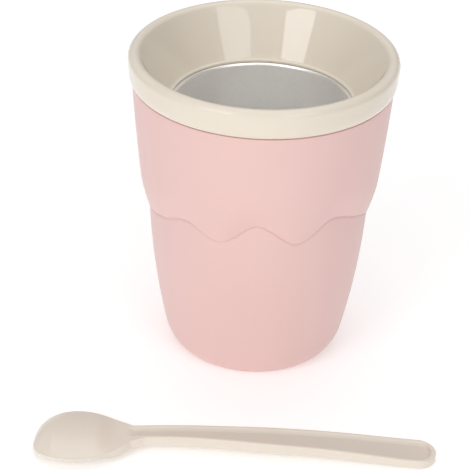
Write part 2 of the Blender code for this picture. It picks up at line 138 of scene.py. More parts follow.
def rounded(corners: Sequence[tuple[float, float, float]], closed: bool, cuts: int = 6) -> np.ndarray:
    """Rounds the corners of an outline.

    Each corner becomes the quadratic curve that starts and ends on its two sides, a reach away from
    it: (1-t)^2 start + 2t(1-t) corner + t^2 end.

    Args:
        corners: radius, height and reach of each corner.
        closed: whether the last corner joins the first; if not, the two end corners stay as points.
        cuts: stretches in each rounding.

    Returns:
        An array of points, radius and height.
    """
    table = np.array(corners, float)
    curve = corner_curves(table[:, :2], table[:, 2], cuts)
    if closed:
        return curve.reshape(-1, 2)
    return np.concatenate((table[:1, :2], curve[1:-1].reshape(-1, 2), table[-1:, :2]))


def corner_curves(place: np.ndarray, reach: np.ndarray, cuts: int) -> np.ndarray:
    """Rounds every corner of closed outlines, any number of them at once.

    Args:
        place: corners, shaped (..., corners, 2).
        reach: how far each rounding starts from its corner, shaped (..., corners).
        cuts: stretches in each rounding.

    Returns:
        Points shaped (..., corners, cuts + 1, 2).
    """

    def towards(other: np.ndarray) -> np.ndarray:
        """Gives the point that lies the reach away from each corner on the way to other."""
        way = other - place
        length = np.maximum(np.linalg.norm(way, axis=-1), 1e-6)
        return place + way * (np.minimum(reach, 0.49 * length) / length)[..., None]

    t = np.linspace(0, 1, cuts + 1)[:, None]
    start = towards(np.roll(place, 1, axis=-2))[..., None, :]
    end = towards(np.roll(place, -1, axis=-2))[..., None, :]
    return (1 - t) ** 2 * start + 2 * t * (1 - t) * place[..., None, :] + t**2 * end


def densified(
    profile: np.ndarray, longest: float, closed: bool, at_radius: Optional[float] = None
) -> np.ndarray:
    """Adds points along the long straight stretches of an outline.

    Args:
        profile: the outline's points.
        longest: the longest stretch that is left.
        closed: whether the last point joins the first.
        at_radius: if given, only upright stretches at this radius are cut.

    Returns:
        The outline with its new points.
    """
    following = np.roll(profile, -1, axis=0)
    length = np.linalg.norm(following - profile, axis=1)
    parts = np.maximum(np.ceil(length / longest).astype(int), 1)
    if at_radius is not None:
        elsewhere = abs(np.stack((profile[:, 0], following[:, 0])) - at_radius) > SAME_RADIUS
        parts[elsewhere.any(axis=0)] = 1
    if not closed:
        parts[-1] = 1
    index = np.repeat(np.arange(len(profile)), parts)
    share = (np.arange(parts.sum()) - np.repeat(np.cumsum(parts) - parts, parts)) / np.repeat(parts, parts)
    return profile[index] + (following[index] - profile[index]) * share[:, None]


def swept(radius: np.ndarray, height: np.ndarray, bearing: np.ndarray) -> np.ndarray:
    """Gives the points (r sin a, -r cos a, z) for radii, heights and bearings from the front in radians."""
    return np.stack((radius * np.sin(bearing), -radius * np.cos(bearing), height + 0 * bearing), axis=-1)


def arc(middle: tuple[float, float], radius: float, angles: np.ndarray) -> np.ndarray:
    """Gives points on a circle in the radius and height plane, at angles above the outward direction."""
    return np.array(middle) + radius * np.stack((np.cos(angles), np.sin(angles)), axis=1)


def turned(profile: np.ndarray, around: int) -> np.ndarray:
    """Turns an outline about Z, so that each of its points becomes a circle of around points."""
    bearing = np.linspace(0, math.tau, around, endpoint=False)
    return swept(profile[:, :1], profile[:, 1:], bearing)


def skin(name: str, rings: np.ndarray, ends: Ends) -> bpy.types.Object:
    """Makes a closed piece from a grid of points whose columns run round.

    Neighbouring rings are joined by quads. The signed volume, a sixth of the sum of the triple
    products of the triangles' corners, says whether the faces have to be turned round.

    Args:
        name: the piece's name.
        rings: points in millimetres, shaped rings by columns by 3.
        ends: how the first and last ring are closed.

    Returns:
        The object, at the origin, shaded smooth except at its sharp edges.
    """
    count, around = rings.shape[:2]
    points = rings.reshape(-1, 3)
    row = np.arange(count if ends is Ends.JOINED else count - 1)[:, None] * around
    column = np.arange(around)[None, :]
    beside = (column + 1) % around
    above = (row + around) % (count * around)
    quads = np.stack((row + column, row + beside, above + beside, above + column), axis=-1).reshape(-1, 4)
    caps = np.zeros((0, 3), int)
    if ends is Ends.POLES:
        points = np.concatenate((points, rings[0].mean(axis=0)[None], rings[-1].mean(axis=0)[None]))
        first, last = count * around, count * around + 1
        top = (count - 1) * around
        turn, following = column[0], beside[0]
        caps = np.concatenate(
            (
                np.stack((following, turn, np.full(around, first)), axis=-1),
                np.stack((top + turn, top + following, np.full(around, last)), axis=-1),
            )
        )
    triangles = np.concatenate((quads[:, [0, 1, 2]], quads[:, [0, 2, 3]], caps))
    a, b, c = (points[triangles[:, k]] for k in range(3))
    if np.einsum("ij,ij->", a, np.cross(b, c)) < 0:
        quads, caps = quads[:, ::-1], caps[:, ::-1]
    mesh = bpy.data.meshes.new(name)
    mesh.from_pydata((points * MM).tolist(), [], quads.tolist() + caps.tolist())
    mesh.shade_smooth()
    mesh.set_sharp_from_angle(angle=math.radians(SHARP_EDGE))
    piece = bpy.data.objects.new(name, mesh)
    bpy.context.scene.collection.objects.link(piece)
    return piece


# ---------------------------------------------------------------- shader graphs


class Value:
    """One number socket of a shader graph, so that sums on it add Math nodes."""

    def __init__(self, graph: "Graph", socket: bpy.types.NodeSocket) -> None:
        """Keeps the graph and the socket."""
        self.graph = graph
        self.socket = socket

    def _maths(self, operation: str, first: Number, second: Number) -> "Value":
        """Adds one Math node."""
        return self.graph.value("ShaderNodeMath", {"operation": operation}, {0: first, 1: second})

    def __add__(self, other: Number) -> "Value":
        """Adds."""
        return self._maths("ADD", self, other)

    __radd__ = __add__

    def __sub__(self, other: Number) -> "Value":
        """Subtracts."""
        return self._maths("SUBTRACT", self, other)

    def __rsub__(self, other: Number) -> "Value":
        """Subtracts from a number."""
        return self._maths("SUBTRACT", other, self)

    def __mul__(self, other: Number) -> "Value":
        """Multiplies."""
        return self._maths("MULTIPLY", self, other)

    __rmul__ = __mul__

    def __truediv__(self, other: Number) -> "Value":
        """Divides."""
        return self._maths("DIVIDE", self, other)

    def __pow__(self, other: Number) -> "Value":
        """Raises to a power."""
        return self._maths("POWER", self, other)

    def eased(self, low: float, high: float) -> "Value":
        """Goes smoothly from 0 at low to 1 at high."""
        return self.graph.value(
            "ShaderNodeMapRange",
            {"interpolation_type": "SMOOTHSTEP"},
            {"Value": self, "From Min": low, "From Max": high},
        )


class Graph:
    """A node tree and the coordinates that its patterns are laid on."""

    def __init__(self, tree: bpy.types.NodeTree, coordinates: str = "Object") -> None:
        """Keeps the tree and adds the coordinates."""
        self.tree = tree
        self.place = self.node("ShaderNodeTexCoord").outputs[coordinates]

    def node(
        self, kind: str, settings: Optional[dict] = None, inputs: Optional[dict] = None
    ) -> bpy.types.Node:
        """Adds any node.

        Args:
            kind: the node's type.
            settings: its own properties, set first.
            inputs: values or links of its sockets, by name or number.

        Returns:
            The node.
        """
        made = self.tree.nodes.new(kind)
        for key, value in (settings or {}).items():
            setattr(made, key, value)
        for key, value in (inputs or {}).items():
            self.feed(made.inputs[key], value)
        return made

    def feed(self, socket: bpy.types.NodeSocket, value: Any) -> None:
        """Links a socket to a value's socket, or sets its number or colour."""
        if isinstance(value, Value):
            self.tree.links.new(value.socket, socket)
        elif isinstance(value, bpy.types.NodeSocket):
            self.tree.links.new(value, socket)
        elif isinstance(value, tuple) and socket.type == "RGBA":
            socket.default_value = (*value, 1.0)
        else:
            socket.default_value = value

    def value(
        self,
        kind: str,
        settings: Optional[dict] = None,
        inputs: Optional[dict] = None,
        output: Union[int, str] = 0,
    ) -> Value:
        """Adds a node and gives one of its outputs as a value."""
        return Value(self, self.node(kind, settings, inputs).outputs[output])

    def noise(self, size: float, detail: float = 2.0, where: Any = None, roughness: float = 0.5) -> Value:
        """Gives noise from 0 to 1 whose blotches are about size millimetres across."""
        inputs = {
            "Vector": self.place if where is None else where,
            "Scale": 1.0 / (size * MM),
            "Detail": detail,
            "Roughness": roughness,
        }
        return self.value("ShaderNodeTexNoise", None, inputs)

    def stretched(self, scale: tuple[float, float, float]) -> bpy.types.NodeSocket:
        """Gives the place with each axis scaled, which draws a pattern out along the small ones."""
        return self.node("ShaderNodeMapping", None, {"Vector": self.place, "Scale": scale}).outputs[0]

    def axes(self) -> tuple[Value, Value, Value]:
        """Gives the place's x, y and z in millimetres."""
        split = self.node("ShaderNodeSeparateXYZ", None, {0: self.place})
        x, y, z = (Value(self, socket) * (1.0 / MM) for socket in split.outputs)
        return x, y, z

    def combined(self, x: Number, y: Number, z: Number) -> bpy.types.NodeSocket:
        """Joins three numbers into a vector."""
        return self.node("ShaderNodeCombineXYZ", None, {0: x, 1: y, 2: z}).outputs[0]

    def mixed(self, share: Number, first: Any, second: Any) -> bpy.types.NodeSocket:
        """Mixes two colours."""
        made = self.node("ShaderNodeMix", {"data_type": "RGBA"}, {0: share, 6: first, 7: second})
        return made.outputs[2]

    def cells(self, width: float, **more: float) -> Value:
        """Gives the distance to the nearest of cell centres that lie about width millimetres apart."""
        inputs = {"Vector": self.place, "Scale": 1.0 / (width * MM), **more}
        return self.value("ShaderNodeTexVoronoi", {"feature": "F1"}, inputs)

    def bump(
        self, height: Value, depth: float, strength: float = 1.0, under: Any = None
    ) -> bpy.types.NodeSocket:
        """Adds a bump whose height is depth millimetres where height is 1."""
        inputs = {"Height": height, "Distance": depth * MM, "Strength": strength}
        if under is not None:
            inputs["Normal"] = under
        return self.node("ShaderNodeBump", None, inputs).outputs[0]


class Surface(Graph):
    """A material's node tree, with its Principled shader."""

    def __init__(self, name: str, fixed: dict[str, Any]) -> None:
        """Starts a material and sets the shader's fixed inputs."""
        self.material = bpy.data.materials.new(name)
        self.material.use_nodes = True
        super().__init__(self.material.node_tree)
        self.shader = self.tree.nodes["Principled BSDF"]
        for key, value in fixed.items():
            self.shader.inputs[key].default_value = value

    def finish(self, **fed: Any) -> bpy.types.Material:
        """Feeds the shader's inputs, with _ for a space, and gives the material."""
        for key, value in fed.items():
            self.feed(self.shader.inputs[key.replace("_", " ")], value)
        return self.material


def tinted(colour: Colour, factor: float) -> Colour:
    """Makes a colour lighter or darker."""
    return tuple(min(1.0, part * factor) for part in colour)


@dataclass(frozen=True)
class MouldedPlastic:
    """Injection-moulded plastic: faint flow mottling, a fine skin texture and handling marks.

    Attributes:
        name: the material's name.
        colour: its linear colour.
        roughness: of the clean skin.
        coat: weight of the polished skin over it.
        coat_roughness: of that skin.
        mottling: how far the colour wanders, as a share.
        skin_depth: height of the fine texture in millimetres.
        scuffs: how far rubbed marks raise the roughness.
        specular: strength of the reflection under the coat.
        matt_and_shade_layer: name of a mesh attribute that is 1 where the skin is etched matt and its
            colour painted darker, a painted shade in a recess.
        painted_shade_tone: share of the colour that is left there, the painted shade.
        etched_roughness: what the etching adds to the roughness.
    """

    name: str
    colour: Colour
    roughness: float = 0.35
    coat: float = 0.3
    coat_roughness: float = 0.1
    mottling: float = 0.025
    skin_depth: float = 0.004
    scuffs: float = 0.06
    specular: float = 0.5
    matt_and_shade_layer: str = ""
    painted_shade_tone: float = 0.89
    etched_roughness: float = 0.2

    def build(self) -> bpy.types.Material:
        """Builds the material."""
        graph = Surface(
            self.name,
            {"Coat Roughness": self.coat_roughness, "Coat IOR": 1.5, "Specular IOR Level": self.specular},
        )
        flow = graph.noise(30.0, 3.0, graph.stretched((1.0, 1.0, 0.5)))
        speck = graph.noise(1.1, 2.0)
        cloud = flow * 0.75 + speck * 0.25
        colour = graph.mixed(
            cloud.eased(0.25, 0.75),
            tinted(self.colour, 1 - self.mottling),
            tinted(self.colour, 1 + self.mottling),
        )
        etched_and_shaded: Number = 0.0
        if self.matt_and_shade_layer:
            etched_and_shaded = graph.value("ShaderNodeAttribute", {"attribute_name": self.matt_and_shade_layer}, output="Fac")
            # Painted shade: where the mask is 1 the colour is painted darker, standing in for the shade in
            # the spoon's channel; the same mask also makes the skin matt.
            colour = graph.mixed(etched_and_shaded, colour, tinted(self.colour, self.painted_shade_tone))
        rubbed = graph.noise(9.0, 5.0, graph.stretched((1.0, 1.0, 2.6)), 0.7).eased(0.52, 0.72)
        hairline = graph.noise(5.0, 3.0, graph.stretched((0.25, 0.25, 9.0)), 0.6).eased(0.55, 0.8)
        marks = rubbed * 0.7 + hairline * 0.3
        waviness = graph.bump(graph.noise(16.0, 1.0), 0.05, 0.25)
        texture = graph.bump(graph.noise(0.55, 2.0), self.skin_depth, 0.5, waviness)
        return graph.finish(
            Base_Color=colour,
            Roughness=marks * self.scuffs + etched_and_shaded * self.etched_roughness + self.roughness,
            Coat_Weight=self.coat - marks * (self.scuffs * self.coat),
            Normal=texture,
        )


@dataclass(frozen=True)
class BowlAluminium:
    """Spun and bead-blasted aluminium with a polished rim.

    Attributes:
        name: the material's name.
        colour: its linear colour.
        roughness: of the blasted inside.
        polished: roughness of the rim.
        rim_bottom: height in millimetres where the polish begins.
        rim_full: height where it is complete.
        line_density: spinning lines in each millimetre.
    """

    name: str
    colour: Colour
    roughness: float
    polished: float
    rim_bottom: float
    rim_full: float
    line_density: float = 1.6

    def build(self) -> bpy.types.Material:
        """Builds the material."""
        graph = Surface(self.name, {"Metallic": 1.0})
        x, y, z = graph.axes()
        radius = (x * x + y * y) ** 0.5
        line_scale = self.line_density * MM
        polish = z.eased(self.rim_bottom, self.rim_full)
        grain = graph.noise(0.42, 3.0, None, 0.65)
        pits = graph.noise(1.3, 2.0, None, 0.6)
        lines = graph.noise(1.0, 3.0, graph.combined(radius * line_scale, 0.0, z * line_scale), 0.6)
        cloud = graph.noise(14.0, 3.0)
        tone = (grain * 0.5 + pits * 0.3 + cloud * 0.2).eased(0.3, 0.7)
        blasted = graph.mixed(tone, tinted(self.colour, 0.94), tinted(self.colour, 1.02))
        colour = graph.mixed(polish, blasted, self.colour)
        rough = self.roughness + (cloud - 0.5) * 0.1 + (grain - 0.5) * 0.12
        spun = graph.bump(lines, 0.03, 0.35)
        relief = (grain * 0.7 + pits * 0.3) * (1.0 - polish * 0.95)
        return graph.finish(
            Base_Color=colour,
            Roughness=rough * (1.0 - polish) + polish * self.polished,
            Normal=graph.bump(relief, 0.04, 0.4, spun),
        )


@dataclass(frozen=True)
class Foam:
    """Expanded bead foam: rounded cells with soft seams between them.

    Attributes:
        name: the material's name.
        colour: its linear colour.
        bead: width of a bead in millimetres.
    """

    name: str
    colour: Colour
    bead: float = 2.6

    def build(self) -> bpy.types.Material:
        """Builds the material."""
        graph = Surface(self.name, {"Specular IOR Level": 0.25})
        crown = (1.0 - graph.cells(self.bead)).eased(0.2, 0.9)
        dust = graph.noise(0.5, 2.0)
        colour = graph.mixed(crown, tinted(self.colour, 0.88), self.colour)
        return graph.finish(
            Base_Color=colour,
            Roughness=0.85 + dust * 0.1,
            Normal=graph.bump(crown * 0.9 + dust * 0.1, 0.18, 0.7),
        )


@dataclass(frozen=True)
class Silicone:
    """Matte silicone rubber with a dusty bloom.

    Attributes:
        name: the material's name.
        colour: its linear colour.
        roughness: of the clean rubber.
        dimple: spacing in millimetres of the moulded dimples, or 0 for a plain skin.
    """

    name: str
    colour: Colour
    roughness: float = 0.55
    dimple: float = 0.0

    def build(self) -> bpy.types.Material:
        """Builds the material."""
        graph = Surface(self.name, {"Specular IOR Level": 0.4})
        bloom = graph.noise(6.0, 4.0, None, 0.6)
        grit = graph.noise(0.35, 2.0)
        colour = graph.mixed(bloom.eased(0.35, 0.7), tinted(self.colour, 0.93), tinted(self.colour, 1.04))
        relief = graph.bump(grit, 0.012, 0.5)
        if self.dimple:
            cell = graph.cells(self.dimple, Randomness=0.0)
            relief = graph.bump(cell.eased(0.2, 0.42), 0.25, 0.6, relief)
        return graph.finish(
            Base_Color=colour,
            Roughness=self.roughness + bloom * 0.18,
            Normal=relief,
        )


@dataclass(frozen=True)
class Gel:
    """Blue coolant gel with small bubbles.

    Attributes:
        name: the material's name.
        colour: its linear colour.
        bubble_spacing: millimetres from bubble to bubble.
        bubble_colour: linear colour of a bubble.
    """

    name: str
    colour: Colour
    bubble_spacing: float = 4.0
    bubble_colour: Colour = (0.85, 0.93, 0.97)

    def build(self) -> bpy.types.Material:
        """Builds the material."""
        graph = Surface(self.name, {"IOR": 1.34})
        bubble = graph.cells(self.bubble_spacing).eased(0.1, 0.22)
        cloud = graph.noise(12.0, 4.0)
        depth = graph.mixed(cloud, tinted(self.colour, 0.8), tinted(self.colour, 1.15))
        return graph.finish(
            Base_Color=graph.mixed(bubble, self.bubble_colour, depth),
            Roughness=0.12 + cloud * 0.15,
            Normal=graph.bump(bubble, 0.15, 0.4),
        )


CHANNEL_LAYER = "channel_floor"
PINK = MouldedPlastic(
    name="pink_plastic",
    colour=(0.80, 0.542, 0.511),
    roughness=0.42,
    coat=0.06,
    coat_roughness=0.2,
    mottling=0.012,
)
CREAM = MouldedPlastic(
    name="cream_plastic",
    colour=(0.79, 0.71, 0.60),
    roughness=0.45,
    coat=0.9,
    coat_roughness=0.03,
    mottling=0.01,
    skin_depth=0.001,
    scuffs=0.04,
    specular=0.2,
)
SPOON_CREAM = MouldedPlastic(
    name="spoon_plastic",
    colour=(0.785, 0.705, 0.61),
    roughness=0.32,
    coat=0.25,
    coat_roughness=0.12,
    mottling=0.014,
    # The channel floor is etched matt and its colour painted darker, a painted shade in the recess.
    matt_and_shade_layer=CHANNEL_LAYER,
)
CAN_WHITE = MouldedPlastic(
    name="can_plastic",
    colour=(0.80, 0.83, 0.85),
    roughness=0.45,
    coat=0.1,
    coat_roughness=0.3,
    mottling=0.02,
    skin_depth=0.012,
)
PLUG_GREY = MouldedPlastic(
    name="plug_plastic",
    colour=(0.42, 0.44, 0.46),
    roughness=0.45,
    coat=0.1,
    coat_roughness=0.3,
    mottling=0.03,
    skin_depth=0.012,
)
SEAL = Silicone("seal_silicone", (0.80, 0.82, 0.81), roughness=0.5)
PAD = Silicone("pad_silicone", (0.74, 0.71, 0.66), roughness=0.6, dimple=2.4)
LINER = Foam("liner_foam", (0.88, 0.88, 0.86))
COOLANT = Gel("coolant", (0.30, 0.55, 0.80))


# ---------------------------------------------------------------- the maker's sub-assemblies


@dataclass
class Assembly:
    """What the sub-assemblies share: the body that they ride on."""

    body: str

    def mount(self, piece: bpy.types.Object, node: str, finish: Any, slot: str) -> bpy.types.Object:
        """Dresses a piece, lets it stand for its CAD node and ride on the body.

        Args:
            piece: the finished piece.
            node: the CAD node that it replaces.
            finish: a finish with a build method.
            slot: not used.

        Returns:
            The piece.
        """
        piece.data.materials.append(finish.build())
        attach(piece, self.body)
        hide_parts(node)
        LOG.info("%s: %d faces on body %s", piece.name, len(piece.data.polygons), self.body)
        return piece


@dataclass
class Cup(Assembly):
    """The pink cup with its dripping relief, the foam liner in it and the pad under it.

    Attributes:
        foot_height: height of the rounded foot corner.
        foot_reach: how far the corner is drawn in.
        drip_edge: bearing from the front and height of the high and low points of the relief's edge.
        drip_step: share of the layer's thickness at its very edge.
        drip_roll: height over which the layer's edge rolls out to its full thickness.
        crease_depth: depth of the crease along the edge.
        crease_half: half its height, where it has faded to about a third.
        edge_rise: height over which the layer jumps to its step.
        lower_cone: the lower wall's start height and radius there, its rise, growth and belly.
        upper_cone: the same for the upper layer.
        corner_top: height up to which the rows of the foot corner reach.
        step_half: half the height of the closely spaced rows along the drip's edge.
        pad_room: gap round the pad.
        pad_grooves: how far in from the pad's edge each of its grooves lies.
        liner_sheet: thickness of the foam beaker's floor.
        around: columns round the cup.
    """

    body: str = "cup"
    foot_height: float = 9.0
    foot_reach: float = 4.4
    drip_step: float = 0.12
    drip_roll: float = 14.0
    crease_depth: float = 0.3
    crease_half: float = 0.5
    edge_rise: float = 0.5
    lower_cone: tuple[float, ...] = (14.0, 38.0, 46.0, 5.7, 3.4)
    upper_cone: tuple[float, ...] = (76.0, 47.4, 42.0, 3.6, 1.0)
    corner_top: float = 10.0
    step_half: float = 1.3
    pad_room: float = 0.4
    pad_grooves: tuple[float, ...] = (4.0, 9.0, 14.0)
    liner_sheet: float = 2.5
    around: int = 384
    drip_edge: Table = (
        (-90.0, 62.0),
        (-56.0, 67.0),
        (-38.0, 71.8),
        (-19.0, 66.9),
        (0.5, 75.8),
        (21.0, 67.1),
        (40.5, 74.8),
        (60.0, 69.6),
        (90.0, 62.0),
        (122.0, 71.0),
        (143.0, 66.0),
        (165.0, 74.5),
        (187.0, 67.5),
        (208.0, 73.0),
        (236.0, 67.0),
    )

    @staticmethod
    def cone(height: np.ndarray, sizes: tuple[float, ...]) -> np.ndarray:
        """Radius of a cone with a belly: a straight line plus a parabola that is highest half-way."""
        start, radius, rise, growth, belly = sizes
        share = (height - start) / rise
        return radius + growth * share + belly * share * (1 - share)

    def lower_wall(self, height: np.ndarray) -> np.ndarray:
        """Radius below the drip: the lower cone, less a quarter ellipse at the foot."""
        depth = np.clip((self.foot_height - height) / self.foot_height, 0, 1)
        corner = self.foot_reach * (1 - np.sqrt(1 - depth**2))
        return self.cone(height, self.lower_cone) - corner

    def upper_wall(self, height: np.ndarray) -> np.ndarray:
        """Radius of the upper layer."""
        return self.cone(height, self.upper_cone)

    def outside(self, height: np.ndarray, above: np.ndarray) -> np.ndarray:
        """Radius of the cup's outside.

        The layer's share is 0 under the edge, jumps to drip_step over edge_rise, and then grows to
        1 along a parabola that is level at drip_roll. The crease is a bell curve about the edge.

        Args:
            height: the heights.
            above: the same heights counted from the drip's edge.

        Returns:
            The radii.
        """
        roll = 1 - (1 - np.clip(above / self.drip_roll, 0, 1)) ** 2
        share = self.drip_step * smooth(above / self.edge_rise) + (1 - self.drip_step) * roll
        lower, upper = self.lower_wall(height), self.upper_wall(height)
        crease = self.crease_depth * np.exp(-((above / self.crease_half) ** 2))
        return lower + (upper - lower) * np.where(above > 0, share, 0) - crease

    def shell(self) -> bpy.types.Object:
        """Makes the cup: rows that follow the drip's edge outside, plain rows inside."""
        low, high = extent("outer_cup")
        rim, foot = high[2], low[2]
        pad_hole = extent("foot_pad")[1][0] + self.pad_room
        pad_top = extent("foot_pad")[1][2] + GAP
        bearing = np.linspace(-180, 180, self.around, endpoint=False)
        edge = through(self.drip_edge, bearing, 360.0)[None, :]
        top, half = self.corner_top, self.step_half
        corner = foot + (top - foot) * (1 - np.cos(np.linspace(0, math.pi / 2, 22)))[:, None]
        below = top + (edge - half - 0.1 - top) * np.linspace(0, 1, 26)[1:, None]
        step = edge + np.linspace(-half, half, 30)[:, None]
        roll = edge + half + (self.drip_roll - half) * np.linspace(0, 1, 24)[1:, None] ** 1.3
        top_start = edge + self.drip_roll
        wall = top_start + (rim - 0.7 - top_start) * np.linspace(0, 1, 18)[1:, None]
        parts = (corner, below, step, roll, wall)
        height = np.concatenate([np.broadcast_to(part, (len(part), self.around)) for part in parts])
        radius = self.outside(height, height - edge)
        rim_radius = float(self.upper_wall(np.array(rim)))
        inner = rounded(
            (
                (rim_radius - 0.02, rim - 0.6, 0.1),
                (rim_radius - 0.1, rim, 0.55),
                (48.6, rim, 0.6),
                (48.3, rim - 0.8, 0.3),
                (47.3, 104.0, 3.0),
                (45.4, 84.0, 4.0),
                (41.7, 73.0, 4.0),
                (41.4, 62.0, 3.0),
                (39.4, 38.0, 6.0),
                (36.8, 20.0, 6.0),
                (34.7, 9.0, 3.0),
                (31.6, 4.6, 2.0),
                (2.0, 4.6, 0.1),
            ),
            closed=False,
        )
        under = np.array(
            (
                (2.0, pad_top),
                (pad_hole - BEVEL, pad_top),
                (pad_hole, pad_top - BEVEL),
                (pad_hole, foot + BEVEL),
                (pad_hole + BEVEL, foot),
            )
        )
        side = np.radians(bearing)
        rows = [swept(part[:, :1], part[:, 1:], side) for part in (under, inner[1:])]
        rows.insert(1, swept(radius, height, side))
        return skin("cup_shell", np.concatenate(rows), Ends.POLES)

    def pad(self) -> bpy.types.Object:
        """Makes the pad: a disc with softened edges and three shallow grooves in its underside."""
        edge, _, top = extent("foot_pad")[1]
        grooves = []
        for inset in self.pad_grooves:
            for across, depth in ((0.8, 0.0), (0.4, 0.5), (-0.4, 0.5), (-0.8, 0.0)):
                grooves.append((edge - inset + across, depth, 0.3))
        corners = [(1.0, top, 0.1), (edge, top, 0.3), (edge, 0.0, 0.4), *grooves, (1.0, 0.0, 0.1)]
        return skin("cup_foot_pad", turned(rounded(corners, closed=False, cuts=4), 192), Ends.POLES)

    def liner(self) -> bpy.types.Object:
        """Makes the foam beaker."""
        low, high = extent("insulation_liner")
        bottom, top = low[2], high[2]
        corners = (
            (1.0, bottom, 0.1),
            (31.2, bottom, 2.0),
            (34.2, 9.0, 3.0),
            (36.4, 20.0, 5.0),
            (39.0, 38.0, 6.0),
            (41.0, 62.0, 4.0),
            (41.2, top, 0.5),
            (39.55, top, 0.5),
            (39.4, 62.0, 4.0),
            (37.35, 38.0, 6.0),
            (34.7, 20.0, 5.0),
            (32.8, 11.4, 2.0),
            (30.5, bottom + self.liner_sheet, 2.0),
            (1.0, bottom + self.liner_sheet, 0.1),
        )
        profile = densified(rounded(corners, closed=False), 3.0, closed=False)
        return skin("cup_liner", turned(profile, 192), Ends.POLES)

    def build(self) -> None:
        """Builds and dresses the three pieces."""
        self.mount(self.shell(), "outer_cup", PINK, "pink_plastic")
        self.mount(self.pad(), "foot_pad", PAD, "pad_silicone")
        self.mount(self.liner(), "insulation_liner", LINER, "liner_foam")


@dataclass
class Thread:
    """Ridges of a screw thread, as a height added to a turned wall.

    Attributes:
        starts: how many ridges share the wall.
        lead: how far one whole turn climbs.
        first: bearing where the first ridge begins.
        turn: degrees that each ridge runs for.
        bottom: height of a ridge's middle where it begins.
        depth: how far a ridge stands out of the wall.
        root_half: half its height at the wall.
        crest_half: half its height at the crest.
        fade_turn: degrees over which it fades at each end.
    """

    starts: int
    lead: float
    first: float
    turn: float
    bottom: float
    depth: float
    root_half: float
    crest_half: float
    fade_turn: float = 10.0

    def relief(self, bearing: np.ndarray, height: np.ndarray) -> np.ndarray:
        """Gives the relief at points of the wall.

        Along a ridge its middle climbs lead for each turn. Across it, the relief eases from 0 at
        root_half to depth at crest_half. At both ends it fades over fade_turn degrees.

        Args:
            bearing: degrees anticlockwise from +X.
            height: heights in millimetres.

        Returns:
            How far the wall stands out there.
        """
        total = np.zeros(np.broadcast(bearing, height).shape)
        for start in range(self.starts):
            along = (bearing - self.first - 360 * start / self.starts) % 360
            middle = self.bottom + self.lead * along / 360
            across = (self.root_half - np.abs(height - middle)) / (self.root_half - self.crest_half)
            fade = smooth(along / self.fade_turn) * smooth((self.turn - along) / self.fade_turn)
            total = np.maximum(total, smooth(across) * fade)
        return total * self.depth


def bearings(around: int) -> np.ndarray:
    """Degrees anticlockwise from +X of the columns that turned() makes."""
    return (np.degrees(np.linspace(0, math.tau, around, endpoint=False)) - 90) % 360


THREAD_STARTS = 4
THREAD_LEAD = 24.0
THREAD_BOTTOM = 93.5
LUG_FIRST = 62.0
LUG_DROP = 2.45
CAN_RIDGES = Thread(
    starts=THREAD_STARTS,
    lead=THREAD_LEAD,
    first=0.0,
    turn=150.0,
    bottom=THREAD_BOTTOM,
    depth=1.1,
    root_half=1.15,
    crest_half=0.5,
)
COLLAR_LUGS = Thread(
    starts=THREAD_STARTS,
    lead=THREAD_LEAD,
    first=LUG_FIRST,
    turn=60.0,
    bottom=THREAD_BOTTOM + THREAD_LEAD * LUG_FIRST / 360 - LUG_DROP,
    depth=1.1,
    root_half=1.05,
    crest_half=0.45,
)


